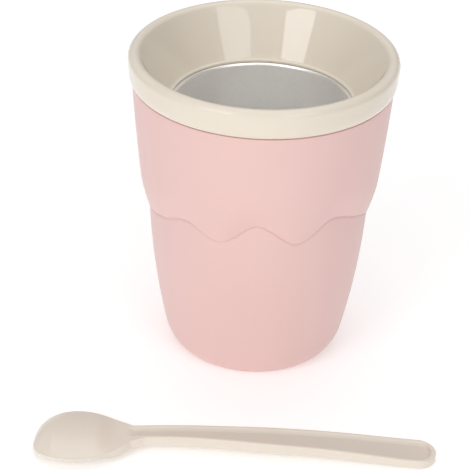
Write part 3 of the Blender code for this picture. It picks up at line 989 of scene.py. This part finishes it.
@dataclass
class Core(Assembly):
    """The freezing core: can, coolant, bowl, gasket and filling plug.

    Attributes:
        mouth: radius of the bowl just under its rim.
        foot: radius of the bowl above its floor corner.
        corner: radius of that corner.
        sheet: thickness of the bowl's metal.
        roll: radius of the rolled rim.
        neck: radius of the can's threaded neck.
        neck_bottom: height where the neck begins.
        neck_wall: thickness of the neck.
        waist: radius of the can under its neck.
        wall: thickness of the can below the neck.
        rim_wall: thickness of the can's rim, above the shoulder that the gasket lies on.
        shoulder_drop: how far that shoulder is below the rim.
        shoulder_sheet: thickness of the shoulder.
        shoulder_inner: radius of its hole.
        recess: radius of the plug's recess in the can's floor.
        ceiling: height of the recess's top.
        plug_hole: radius of the hole there.
        inside_floor: height of the can's inside over the recess.
        shank: radius of the plug's threaded shank.
        head_top: height of the top of the plug's head.
        socket: radius of the round that the head's six-sided socket is drawn from.
        socket_depth: its depth.
        shank_pitch: climb of the shank's thread for each turn.
        shank_cut: depth of that thread.
        o_ring_columns: columns round the O-ring.
    """

    body: str = "core"
    mouth: float = 34.7
    foot: float = 29.2
    corner: float = 8.0
    sheet: float = 0.9
    roll: float = 1.1
    neck: float = 42.4
    neck_bottom: float = 91.5
    neck_wall: float = 1.7
    waist: float = 39.4
    wall: float = 1.6
    rim_wall: float = 1.05
    shoulder_drop: float = 1.9
    shoulder_sheet: float = 1.8
    shoulder_inner: float = 37.1
    recess: float = 18.0
    ceiling: float = 11.8
    plug_hole: float = 5.4
    inside_floor: float = 14.0
    shank: float = 5.1
    head_top: float = 9.95
    socket: float = 2.7
    socket_depth: float = 1.5
    shank_pitch: float = 0.8
    shank_cut: float = 0.35
    o_ring_columns: int = 144

    def bowl(self) -> bpy.types.Object:
        """Makes the bowl: inside from the floor up, over the rolled rim and back down outside."""
        low, high = extent("freezing_bowl")
        rim, flange, floor = high[2], high[0], low[2] + self.sheet
        around = np.radians(np.linspace(-90, 0, 20))
        over = np.radians(np.linspace(180, 90, 14))
        centre = (self.foot - self.corner, floor + self.corner)
        crest = (self.mouth + self.roll, rim - self.roll)

        flange_edge = (
            (crest[0], rim, 0.1),
            (flange, rim, 0.25),
            (flange, rim - self.sheet, 0.25),
            (crest[0], rim - self.sheet, 0.1),
        )
        profile = np.concatenate(
            (
                ((1.0, floor),),
                arc(centre, self.corner, around),
                arc(crest, self.roll, over),
                rounded(flange_edge, closed=False, cuts=3)[1:],
                arc(crest, self.roll - self.sheet, over[::-1])[1:],
                arc(centre, self.corner + self.sheet, around[::-1]),
                ((1.0, floor - self.sheet),),
            )
        )
        return skin("core_bowl", turned(densified(profile, 2.0, closed=False), 288), Ends.POLES)

    def can(self) -> bpy.types.Object:
        """Makes the can: a tapered wall, a threaded neck and a recess for the plug in its floor."""
        low, high = extent("freezer_can")
        bottom, rim = low[2], high[2]
        neck, shoulder = self.neck, rim - self.shoulder_drop
        neck_inside, rim_inside = neck - self.neck_wall, neck - self.rim_wall
        shoulder_bottom = shoulder - self.shoulder_sheet
        corners = (
            (rim_inside, rim, 0.3),
            (neck, rim, 0.35),
            (neck, self.neck_bottom, 1.5),
            (self.waist, 79.5, 3.0),
            (39.1, 62.0, 5.0),
            (37.1, 38.0, 6.0),
            (33.6, 16.0, 5.0),
            (32.2, 11.2, 1.6),
            (30.2, bottom, 1.6),
            (self.recess, bottom, 0.5),
            (self.recess, self.ceiling, 0.4),
            (self.plug_hole, self.ceiling, 0.2),
            (self.plug_hole, self.inside_floor, 0.2),
            (19.9, self.inside_floor, 0.5),
            (19.9, 9.8, 0.5),
            (29.3, 9.8, 1.0),
            (30.8, 12.4, 1.0),
            (32.0, 16.0, 3.0),
            (35.5, 38.0, 6.0),
            (37.5, 62.0, 5.0),
            (self.waist - self.wall, 80.0, 3.0),
            (neck_inside, 91.9, 1.5),
            (neck_inside, shoulder_bottom, 0.5),
            (self.shoulder_inner, shoulder_bottom, 0.3),
            (self.shoulder_inner, shoulder, 0.3),
            (rim_inside, shoulder, 0.2),
        )
        around = 320
        profile = densified(rounded(corners, closed=True), 2.4, closed=True)
        profile = densified(profile, 0.25, closed=True, at_radius=neck)
        rings = turned(profile, around)
        relief = CAN_RIDGES.relief(bearings(around)[None, :], profile[:, 1:])
        radius, height = profile[:, :1], profile[:, 1:]
        on_neck = (height > self.neck_bottom + 0.4) & (height < rim - 0.4)
        outside = (radius > neck - SAME_RADIUS) & on_neck
        grown = (radius + np.where(outside, relief, 0)) / radius
        rings[..., :2] *= grown[..., None]
        return skin("core_can", rings, Ends.JOINED)

    def ring(self, name: str, node: str, inner: float, soft: float) -> bpy.types.Object:
        """Makes a flat ring in the place of a CAD ring, its corners rounded."""
        low, high = extent(node)
        outer, top, bottom = high[0], high[2], low[2]
        corners = ((inner, top, soft), (outer, top, soft), (outer, bottom, soft), (inner, bottom, soft))
        return skin(name, turned(rounded(corners, closed=True), RING_COLUMNS), Ends.JOINED)

    def plug(self) -> bpy.types.Object:
        """Makes the plug: a chamfered head with a six-sided socket, and a threaded shank.

        The socket's round is pulled out to a hexagon by cos 30 over the cosine of the bearing from
        the nearest flat's middle. The shank's thread is a cosine wave along a helix.
        """
        low, high = extent("fill_plug")
        head, top, bottom = high[0], high[2], low[2]
        head_top, socket_top = self.head_top, bottom + self.socket_depth
        corners = (
            (0.6, top, 0.1),
            (self.shank, top, 0.4),
            (self.shank, head_top, 0.1),
            (head, head_top, 0.2),
            (head, bottom, 0.5),
            (self.socket + 0.5, bottom, 0.3),
            (self.socket, bottom + BEVEL, 0.2),
            (self.socket, socket_top, 0.2),
            (0.6, socket_top, 0.1),
        )
        around = 192
        profile = densified(rounded(corners, closed=False), 0.4, closed=False)
        rings = turned(profile, around)
        side = np.linspace(0, math.tau, around, endpoint=False)
        hexagon = math.cos(math.pi / 6) / np.cos((side % (math.pi / 3)) - math.pi / 6)
        reach = self.socket + 0.6
        in_socket = (profile[:, 0] < reach) & (profile[:, 1] < head_top - 0.05)
        pull = smooth((reach - profile[:, 0]) / 0.5) * in_socket
        rings[..., :2] *= (1 + pull[:, None] * (hexagon[None, :] - 1))[..., None]
        along_shank = (profile[:, 1] > head_top + 0.4) & (profile[:, 1] < top - 0.4)
        on_shank = (abs(profile[:, 0] - self.shank) < 0.1) & along_shank
        turn = np.degrees(side) / 360
        wave = 0.5 - 0.5 * np.cos(math.tau * (profile[:, 1:] / self.shank_pitch - turn[None, :]))
        cut = np.where(on_shank[:, None], self.shank_cut * wave / profile[:, :1], 0)
        rings[..., :2] *= (1 - cut)[..., None]
        return skin("core_fill_plug", rings, Ends.POLES)

    def o_ring(self) -> bpy.types.Object:
        """Makes the O-ring: a circle of the CAD ring's section, turned."""
        low, high = extent("plug_seal")
        half = (high[2] - low[2]) / 2
        around = np.linspace(0, math.tau, 28, endpoint=False)
        middle = (high[2] + low[2]) / 2
        profile = arc((high[0] - half, middle), half, around)
        return skin("core_plug_seal", turned(profile, self.o_ring_columns), Ends.JOINED)

    def build(self) -> None:
        """Builds and dresses the pieces; the coolant stays the CAD solid, sealed in the can."""
        rim = extent("freezing_bowl")[1][2]
        metal = BowlAluminium(
            name="bowl_aluminium",
            colour=(0.975, 0.965, 0.945),
            roughness=0.58,
            polished=0.34,
            rim_bottom=rim - 1.3,
            rim_full=rim - 0.8,
        )
        self.mount(self.bowl(), "freezing_bowl", metal, "bowl_aluminium")
        self.mount(self.can(), "freezer_can", CAN_WHITE, "can_plastic")
        gasket = self.ring("core_bowl_gasket", "bowl_gasket", 37.5, 0.2)
        self.mount(gasket, "bowl_gasket", SEAL, "seal_silicone")
        self.mount(self.plug(), "fill_plug", PLUG_GREY, "plug_plastic")
        self.mount(self.o_ring(), "plug_seal", SEAL, "seal_silicone")
        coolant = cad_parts["coolant_gel"]
        coolant.data.materials.clear()
        coolant.data.materials.append(COOLANT.build())


@dataclass
class Collar(Assembly):
    """The cream funnel collar, which screws on the can.

    Attributes:
        roll: radius of the rolled lip.
        slope: the funnel's angle above the level, in degrees.
        round_height: height of the rounding at the band's lower edge.
        round_reach: how far that rounding is drawn in.
        ledge: width of the level ledge that ends the funnel.
        ledge_rise: height of the ledge over the collar's foot.
        foot_gap: gap between the collar's foot and the bowl's rim.
        band_inset: how far the band stands back from the lip.
        step_radius: radius of the step that centres the collar in the cup.
        step_bottom: height where that step ends.
        skirt_top: height where the skirt begins.
        skirt_in: inner radius of the skirt.
        skirt_out: its outer radius.
        groove_inner: inner radius of the seal's groove.
        groove_outer: its outer radius.
        groove_depth: its depth.
    """

    body: str = "collar"
    roll: float = 2.6
    slope: float = 60.0
    round_height: float = 5.0
    round_reach: float = 1.8
    ledge: float = 1.0
    ledge_rise: float = 1.0
    foot_gap: float = 0.15
    band_inset: float = 0.2
    step_radius: float = 47.4
    step_bottom: float = 113.2
    skirt_top: float = 110.8
    skirt_in: float = 43.9
    skirt_out: float = 45.4
    groove_inner: float = 39.3
    groove_outer: float = 41.3
    groove_depth: float = 2.05

    def collar(self) -> bpy.types.Object:
        """Makes the collar: lip, band, seat, skirt with its lugs, seal groove and funnel."""
        low, high = extent("funnel_collar")
        lip_radius, top, skirt_bottom = high[0], high[2], low[2]
        seat = extent("outer_cup")[1][2] + GAP
        foot = extent("freezing_bowl")[1][2] + self.foot_gap
        lip_angles = np.radians(np.linspace(90 + self.slope, 0, 34))
        lip = arc((lip_radius - self.roll, top - self.roll), self.roll, lip_angles)
        down = np.radians(np.linspace(0, 86, 20))
        band_top = seat + self.round_height
        across = lip_radius - self.band_inset - self.round_reach * (1 - np.cos(down))
        band = np.stack((across, band_top - self.round_height * np.sin(down)), axis=1)
        ledge, groove_top = foot + self.ledge_rise, foot + self.groove_depth
        funnel_radius = lip[0, 0] - (lip[0, 1] - ledge) / math.tan(math.radians(self.slope))
        under = rounded(
            (
                (band[-1, 0], band[-1, 1], 0.1),
                (band[-1, 0] - BEVEL, seat, 0.3),
                (self.step_radius, seat, 0.5),
                (self.step_radius, self.step_bottom, 0.6),
                (self.skirt_out, self.skirt_top, 0.6),
                (self.skirt_out, skirt_bottom, 0.4),
                (self.skirt_in, skirt_bottom, 0.4),
                (self.skirt_in, foot, 0.6),
                (self.groove_outer, foot, 0.2),
                (self.groove_outer, groove_top, 0.2),
                (self.groove_inner, groove_top, 0.2),
                (self.groove_inner, foot, 0.2),
                (funnel_radius - self.ledge, foot, 0.1),
                (funnel_radius - self.ledge, ledge - 0.05, 0.3),
                (funnel_radius, ledge, 0.35),
                (float(lip[0, 0]), float(lip[0, 1]), 0.1),
            ),
            closed=False,
        )
        profile = densified(np.concatenate((lip, band, under[1:-1])), 2.0, closed=True)
        profile = densified(profile, 0.25, closed=True, at_radius=self.skirt_in)
        around = 384
        rings = turned(profile, around)
        radius, height = profile[:, :1], profile[:, 1:]
        in_skirt = (height > skirt_bottom + 0.5) & (height < foot - 1)
        inside = (abs(radius - self.skirt_in) < SAME_RADIUS) & in_skirt
        relief = np.where(inside, COLLAR_LUGS.relief(bearings(around)[None, :], height), 0)
        rings[..., :2] *= (1 - relief / radius)[..., None]
        return skin("collar_funnel", rings, Ends.JOINED)

    def build(self) -> None:
        """Builds and dresses the collar."""
        self.mount(self.collar(), "funnel_collar", CREAM, "cream_plastic")


@dataclass
class SealRing(Assembly):
    """The silicone ring in the collar's groove.

    Attributes:
        inner: its inner radius.
        bead: height of the two sealing beads on its underside.
    """

    body: str = "seal"
    inner: float = 39.6
    bead: float = 0.25

    def build(self) -> None:
        """Builds and dresses the ring, with two shallow sealing beads on its underside."""
        low, high = extent("collar_seal")
        inner, outer = self.inner, high[0]
        middle = (inner + outer) / 2
        corners = (
            (inner, high[2], 0.3),
            (outer, high[2], 0.3),
            (outer, low[2] + BEVEL, 0.3),
            (outer - BEVEL, low[2], 0.2),
            (middle, low[2] + self.bead, 0.2),
            (inner + BEVEL, low[2], 0.2),
            (inner, low[2] + BEVEL, 0.3),
        )
        ring = skin("collar_seal_ring", turned(rounded(corners, closed=True), RING_COLUMNS), Ends.JOINED)
        self.mount(ring, "collar_seal", SEAL, "seal_silicone")


@dataclass
class Spoon(Assembly):
    """The spoon: an uneven, slightly crowned blade and an arched handle with a channel along its top.

    Attributes:
        neck_x: where the blade's outline meets the handle.
        axis_y: the line that the handle lies along.
        far_edge: turn from tip to neck, and the blade's edge on the cup's side.
        near_edge: the same on the other side.
        top: place along X and height of the blade's rim and the handle's top.
        handle_far: place along X and the handle's edge on the cup's side.
        handle_width: place along X and width of the handle.
        handle_depth: place along X and thickness of the handle.
        rail: width of the rails beside the channel.
        end_rail: width of the rail round its end.
        channel_slope: how far the channel's sloping walls run in from its edges.
        rim: width of the blade's rim.
        channel_depth: depth of the channel.
        blade_wall: thickness of the blade.
        crown: how far the middle of the blade stands above its rim.
        full_half: half width of the blade from which the crown has its full height.
        rest: height of the spoon's lowest points.
        corner_cuts: stretches in the rounding of each corner of a cross-section.
        back_share: how much of the crown shows in the blade's underside.
        blade_flank: height of the blade's upright edge.
        keel: half width of the blade's flat underside, as a share of its half width.
        foot_bevel: how far the handle's underside is narrower than its top, on each side.
        rails_start: where the rails begin, from the neck.
        rails_length: length over which they take shape.
    """

    body: str = "spoon"
    neck_x: float = -44.0
    axis_y: float = -84.4
    rail: float = 1.2
    end_rail: float = 1.7
    channel_slope: float = 1.0
    rim: float = 0.45
    channel_depth: float = 1.4
    blade_wall: float = 1.4
    crown: float = 2.6
    full_half: float = 13.0
    rest: float = 0.3
    corner_cuts: int = 10
    back_share: float = 0.8
    blade_flank: float = 1.3
    keel: float = 0.55
    foot_bevel: float = 0.4
    rails_start: float = -4.6
    rails_length: float = 3.0
    far_edge: Table = (
        (0, -4.6),
        (10, 2.2),
        (20, 7.4),
        (33, 11.7),
        (44, 14.2),
        (54, 15.1),
        (62, 14.6),
        (70, 12.9),
        (78, 10.1),
        (84, 7.4),
        (90, 4.7),
    )
    near_edge: Table = (
        (0, -4.6),
        (19, -10.1),
        (29, -12.3),
        (36, -13.5),
        (46, -14.7),
        (54, -15.0),
        (63, -14.6),
        (71, -13.2),
        (78, -10.8),
        (84, -8.4),
        (90, -5.0),
    )
    top: Table = (
        (-81.1, 3.6),
        (-74.0, 4.7),
        (-62.0, 5.0),
        (-52.0, 5.5),
        (-44.0, 6.9),
        (-18.0, 7.9),
        (0.0, 7.85),
        (20.0, 7.25),
        (39.0, 6.0),
        (58.0, 4.45),
        (71.4, 3.7),
    )
    handle_far: Table = (
        (-44.0, 4.8),
        (-18.6, 5.4),
        (0.5, 5.9),
        (20.0, 6.5),
        (39.0, 7.0),
        (66.0, 7.3),
        (72.0, 7.3),
    )
    handle_width: Table = (
        (-44.0, 7.6),
        (-21.6, 8.3),
        (-10.3, 9.1),
        (1.1, 10.2),
        (12.5, 11.1),
        (23.8, 11.6),
        (46.6, 12.9),
        (64.0, 13.7),
        (72.0, 13.7),
    )
    handle_depth: Table = (
        (-44.0, 4.5),
        (-10.3, 4.6),
        (12.5, 4.2),
        (35.2, 3.8),
        (58.0, 3.6),
        (72.0, 3.4),
    )

    def stations(self) -> tuple[np.ndarray, np.ndarray, np.ndarray]:
        """Gives, along the spoon, the place, the outline's middle and its half width.

        In the blade the place runs from tip to neck as 1 - cos of a turn of 90 degrees, so that the
        outline is round at the tip. The handle ends in a half circle.

        Returns:
            Three arrays of one length.
        """
        tip, end = self.top[0][0], extent("spoon")[1][0]
        turn = np.linspace(1.0, 90, 130)
        blade_x = tip + (self.neck_x - tip) * (1 - np.cos(np.radians(turn)))
        far, near = through(self.far_edge, turn), through(self.near_edge, turn)
        round_end = self.handle_width[-1][1] / 2
        handle_x = np.linspace(self.neck_x, end - round_end, 120)[1:]
        cap = np.radians(np.linspace(0, 88, 34))[1:]
        place = np.concatenate((blade_x, handle_x, end - round_end + round_end * np.sin(cap)))
        far_grip, width = through(self.handle_far, handle_x), through(self.handle_width, handle_x)
        spread = near[-1] - far_grip[0] + width[0]
        near_grip = far_grip - width + spread * (1 - self.past_neck(handle_x, 0.0, 6.0))
        end_middle = np.full(len(cap), (far_grip[-1] + near_grip[-1]) / 2)
        middle = np.concatenate(((far + near) / 2, (far_grip + near_grip) / 2, end_middle))
        half = np.concatenate(((far - near) / 2, (far_grip - near_grip) / 2, round_end * np.cos(cap)))
        return place, middle, half

    def past_neck(self, place: np.ndarray, shift: float, length: float) -> np.ndarray:
        """Eases from 0 to 1 over a length that begins at a shift from the neck, towards the handle."""
        return smooth((place - self.neck_x - shift) / length)

    def hollow(self, place: np.ndarray, half: np.ndarray) -> tuple[np.ndarray, np.ndarray]:
        """Works out what is sunk into the spoon's top, or stands above it.

        The crown is highest across the widest part of the blade and fades out before the neck,
        where the rails begin; the channel starts between them and ends in a round of its own.

        Args:
            place: places along X.
            half: the outline's half width there.

        Returns:
            The half width of the patch between the rims or rails, and how deep it is sunk.
        """
        end = place[-1]
        rim = np.minimum(self.rim, 0.3 * half)
        rails = self.past_neck(place, self.rails_start, self.rails_length)
        round_start = end - self.handle_width[-1][1] / 2
        beyond = np.clip((place - round_start) / (end - self.end_rail - round_start), 0, 1)
        channel = (through(self.handle_width, place) / 2 - self.rail) * np.sqrt(1 - beyond**2)
        patch = (half - rim) + (np.minimum(channel, half - rim) - (half - rim)) * rails
        wide = np.clip(half / self.full_half, 0, 1) ** 1.5
        crowned = self.crown * wide * (1 - self.past_neck(place, -15.0, 12.5))
        to_end = end - self.end_rail + 0.3 - place
        grooved = self.channel_depth * self.past_neck(place, -2.0, 3.4) * smooth(to_end / 1.4)
        return np.maximum(patch, 0.04), grooved - crowned

    def body_skin(self) -> bpy.types.Object:
        """Makes the spoon as one closed surface of rounded cross-sections.

        Every section has the same thirteen corners: the outline's two edges, seven across the patch
        between its rims or rails, and four round the underside. Their places and roundings blend
        from the blade's to the handle's over the neck.
        """
        place, middle, half = self.stations()
        top = through(self.top, place)
        handle = self.past_neck(place, -5.0, 8.0)
        patch, sunk = self.hollow(place, half)
        depth = through(self.handle_depth, place)
        wall = self.blade_wall + (depth - self.blade_wall) * handle
        bottom = np.maximum(top - wall - sunk * self.back_share * (1 - handle), self.rest)
        keel = half * self.keel + (half * (1 - self.keel) - self.foot_bevel) * handle
        handle_flank = depth - 0.35 - self.blade_flank
        flank_drop = self.blade_flank + handle_flank * self.past_neck(place, -14.0, 12.0)
        flank = np.maximum(top - flank_drop, self.rest + 0.15)
        sloped = 1 - np.minimum(self.channel_slope / patch, 0.6)
        grip_middle = through(self.handle_far, place) - through(self.handle_width, place) / 2
        straight = self.past_neck(place, self.rails_start, self.rails_length) * (place < self.neck_x + 8)
        patch_middle = middle + (grip_middle - middle) * straight
        across_patch = (
            (-1.0, -1.0, 0.0, 0.0),
            (-0.76, -sloped, 0.42, 1.0),
            (-0.4, -0.45 * sloped, 0.84, 1.0),
            (0.0, 0.0, 1.0, 1.0),
            (0.4, 0.45 * sloped, 0.84, 1.0),
            (0.76, sloped, 0.42, 1.0),
            (1.0, 1.0, 0.0, 0.0),
        )
        corners = [(middle - half, top, 0.35, 0.45)]
        for blade_share, channel_share, blade_sunk, channel_sunk in across_patch:
            share = blade_share + (channel_share - blade_share) * handle
            down = blade_sunk + (channel_sunk - blade_sunk) * handle
            reaches = (0.3, 0.4) if abs(blade_share) == 1.0 else (4.0, 0.35)
            corners.append((patch_middle + share * patch, top - down * sunk, *reaches))
        corners += [
            (middle + half, top, 0.35, 0.45),
            (middle + half, flank, 0.4, 0.5),
            (middle + keel, bottom, 4.0, 0.5),
            (middle - keel, bottom, 4.0, 0.5),
            (middle - half, flank, 0.4, 0.5),
        ]
        outline = np.stack([np.stack((y, z), axis=-1) for y, z, _, _ in corners], axis=1)
        reach = np.stack([blade + (grip - blade) * handle for _, _, blade, grip in corners], axis=1)
        section = corner_curves(outline, reach, self.corner_cuts).reshape(len(place), -1, 2)
        across, height = section[..., 0], section[..., 1]
        points = np.stack((place[:, None] + 0 * across, self.axis_y + across, height), axis=-1)
        spoon = skin("spoon_body", points, Ends.POLES)
        # Mask of the channel floor: there the skin is etched matt and its colour painted darker, a painted
        # shade in the recess.
        in_channel = (top[:, None] - height) / self.channel_depth * handle[:, None]
        on_top = np.arange(across.shape[1]) < (1 + len(across_patch)) * (self.corner_cuts + 1)
        floor = np.where(on_top, smooth(in_channel * 1.6 - 0.6), 0.0).ravel()
        layer = spoon.data.attributes.new(CHANNEL_LAYER, "FLOAT", "POINT")
        layer.data.foreach_set("value", np.append(floor, (0.0, 0.0)).astype(np.float32))
        return spoon

    def build(self) -> None:
        """Builds and dresses the spoon."""
        self.mount(self.body_skin(), "spoon", SPOON_CREAM, "spoon_plastic")


# ---------------------------------------------------------------- the studio


@dataclass
class Softbox:
    """A rectangular studio light that faces the maker.

    Attributes:
        name: its name.
        bearing: degrees from the front, towards +X.
        elevation: degrees above the level.
        distance: metres from the maker.
        size: width and height in metres.
        radiance: how bright its face is, with 1 for white.
    """

    name: str
    bearing: float
    elevation: float
    distance: float
    size: tuple[float, float]
    radiance: float

    def build(self, target: Vector) -> None:
        """Adds the light; its power is pi times its area times its radiance."""
        a, e = math.radians(self.bearing), math.radians(self.elevation)
        way = Vector((math.sin(a) * math.cos(e), -math.cos(a) * math.cos(e), math.sin(e)))
        lamp = bpy.data.lights.new(self.name, "AREA")
        lamp.shape = "RECTANGLE"
        lamp.size, lamp.size_y = self.size
        lamp.energy = math.pi * self.size[0] * self.size[1] * self.radiance
        light = bpy.data.objects.new(self.name, lamp)
        light.location = target + way * self.distance
        light.rotation_mode = "QUATERNION"
        light.rotation_quaternion = way.to_track_quat("Z", "Y")
        bpy.context.scene.collection.objects.link(light)


@dataclass(frozen=True)
class Belt:
    """A belt of the surround, between two heights.

    Attributes:
        starts: rise (sine of the elevation) where the belt begins to show.
        full: rise where it has taken over from the belt below.
        side: radiance at the sides.
        front: what the half behind the camera adds.
        back: what the half behind the maker adds.
        bearing: degrees from the front to the middle of the front half, towards +X.
    """

    starts: float
    full: float
    side: float
    front: float
    back: float
    bearing: float = 0.0


@dataclass
class Studio:
    """Pale floor, soft lights and the camera.

    Attributes:
        camera_place: the camera's place in metres.
        camera_right: its right, as a direction.
        camera_up: its up, as a direction.
        lens: focal length in millimetres.
        floor_glow: radiance that the floor gives off by itself, like a light table.
        floor_half: half the floor's side in metres.
        sensor: width of the camera's sensor in millimetres.
        aim: share of the maker's height that the softboxes face.
        belts: the surround, from the lowest belt up.
        boxes: the softboxes.
    """

    camera_place: tuple[float, float, float] = (0.0, -0.60829, 0.41054)
    camera_right: tuple[float, float, float] = (0.999057, 0.032131, 0.029200)
    camera_up: tuple[float, float, float] = (-0.041568, 0.513655, 0.856989)
    lens: float = 132.84
    floor_glow: float = 0.27
    floor_half: float = 4.0
    sensor: float = 36.0
    aim: float = 0.6
    belts: tuple[Belt, ...] = (
        Belt(-1.0, -0.9, 0.0, 1.15, 0.45, -22.0),
        Belt(0.24, 0.44, 0.18, 0.5, 0.42),
        Belt(0.6, 0.74, 0.55, 0.5, -0.2),
        Belt(0.88, 0.95, 0.95, 0.0, 0.0),
    )
    boxes: list[Softbox] = field(
        default_factory=lambda: [
            Softbox("softbox_left", -37.5, 33.0, 1.1, (0.48, 0.27), 4.35),
            Softbox("softbox_right", 35.0, 33.0, 1.1, (0.55, 0.27), 2.5),
            Softbox("softbox_top", 180.0, 72.0, 1.2, (1.0, 0.8), 1.15),
        ]
    )

    def floor(self) -> None:
        """Adds a wide pale floor under the maker."""
        mesh = bpy.data.meshes.new("floor")
        h = self.floor_half
        mesh.from_pydata([(-h, -h, 0), (h, -h, 0), (h, h, 0), (-h, h, 0)], [], [(0, 1, 2, 3)])
        floor = bpy.data.objects.new("floor", mesh)
        bpy.context.scene.collection.objects.link(floor)
        fixed = {"Roughness": 0.95, "Specular IOR Level": 0.1, "Emission Strength": self.floor_glow}
        graph = Surface("floor_paper", fixed)
        cloud = graph.noise(400.0, 2.0)
        paper = graph.mixed(cloud, (0.93, 0.93, 0.93), (0.95, 0.95, 0.95))
        mesh.materials.append(graph.finish(Base_Color=paper, Emission_Color=paper))

    def world(self) -> None:
        """Sets the surround: belts that fade into one another with the rise z.

        How far a direction belongs to a half is its level part along that half's bearing, over its
        level length: 1 straight along it, 0 at right angles.
        """
        world = bpy.data.worlds.new("surround")
        world.use_nodes = True
        graph = Graph(world.node_tree, "Generated")
        split = graph.node("ShaderNodeSeparateXYZ", None, {0: graph.place})
        x, y, z = (Value(graph, socket) for socket in split.outputs)
        level = (x * x + y * y + 1e-6) ** 0.5
        back = (y / level).eased(0.2, 0.75)
        light: Number = 0.0
        for belt in self.belts:
            turn = math.radians(belt.bearing)
            front = ((x * math.sin(turn) - y * math.cos(turn)) / level).eased(0.4, 0.82)
            here = front * belt.front + back * belt.back + belt.side
            light = light + z.eased(belt.starts, belt.full) * (here - light)
        background = world.node_tree.nodes["Background"]
        background.inputs["Color"].default_value = (1.0, 1.0, 1.0, 1.0)
        graph.feed(background.inputs["Strength"], light)
        bpy.context.scene.world = world
        bpy.context.scene.view_settings.view_transform = "Standard"

    def camera(self) -> None:
        """Adds the camera, which looks down on the maker from the front with the spoon nearest."""
        right, up = Vector(self.camera_right).normalized(), Vector(self.camera_up).normalized()
        back = right.cross(up).normalized()
        data = bpy.data.cameras.new("camera")
        data.lens, data.sensor_width = self.lens, self.sensor
        data.clip_start, data.clip_end = 0.01, 20.0
        camera = bpy.data.objects.new("camera", data)
        turn = Matrix((right, back.cross(right), back)).transposed().to_4x4()
        camera.matrix_world = Matrix.Translation(self.camera_place) @ turn
        bpy.context.scene.collection.objects.link(camera)
        bpy.context.scene.camera = camera

    def build(self) -> None:
        """Builds the whole studio."""
        self.floor()
        self.world()
        self.camera()
        top = CAD_BOX[1].z
        target = Vector((0.0, 0.0, top * self.aim))
        for box in self.boxes:
            box.build(target)


def main() -> None:
    """Builds the studio and the maker."""
    logging.basicConfig(level=logging.INFO, format="%(message)s")
    Studio().build()
    for assembly in (Cup(), Core(), SealRing(), Collar(), Spoon()):
        assembly.build()


if __name__ == "__main__":
    main()
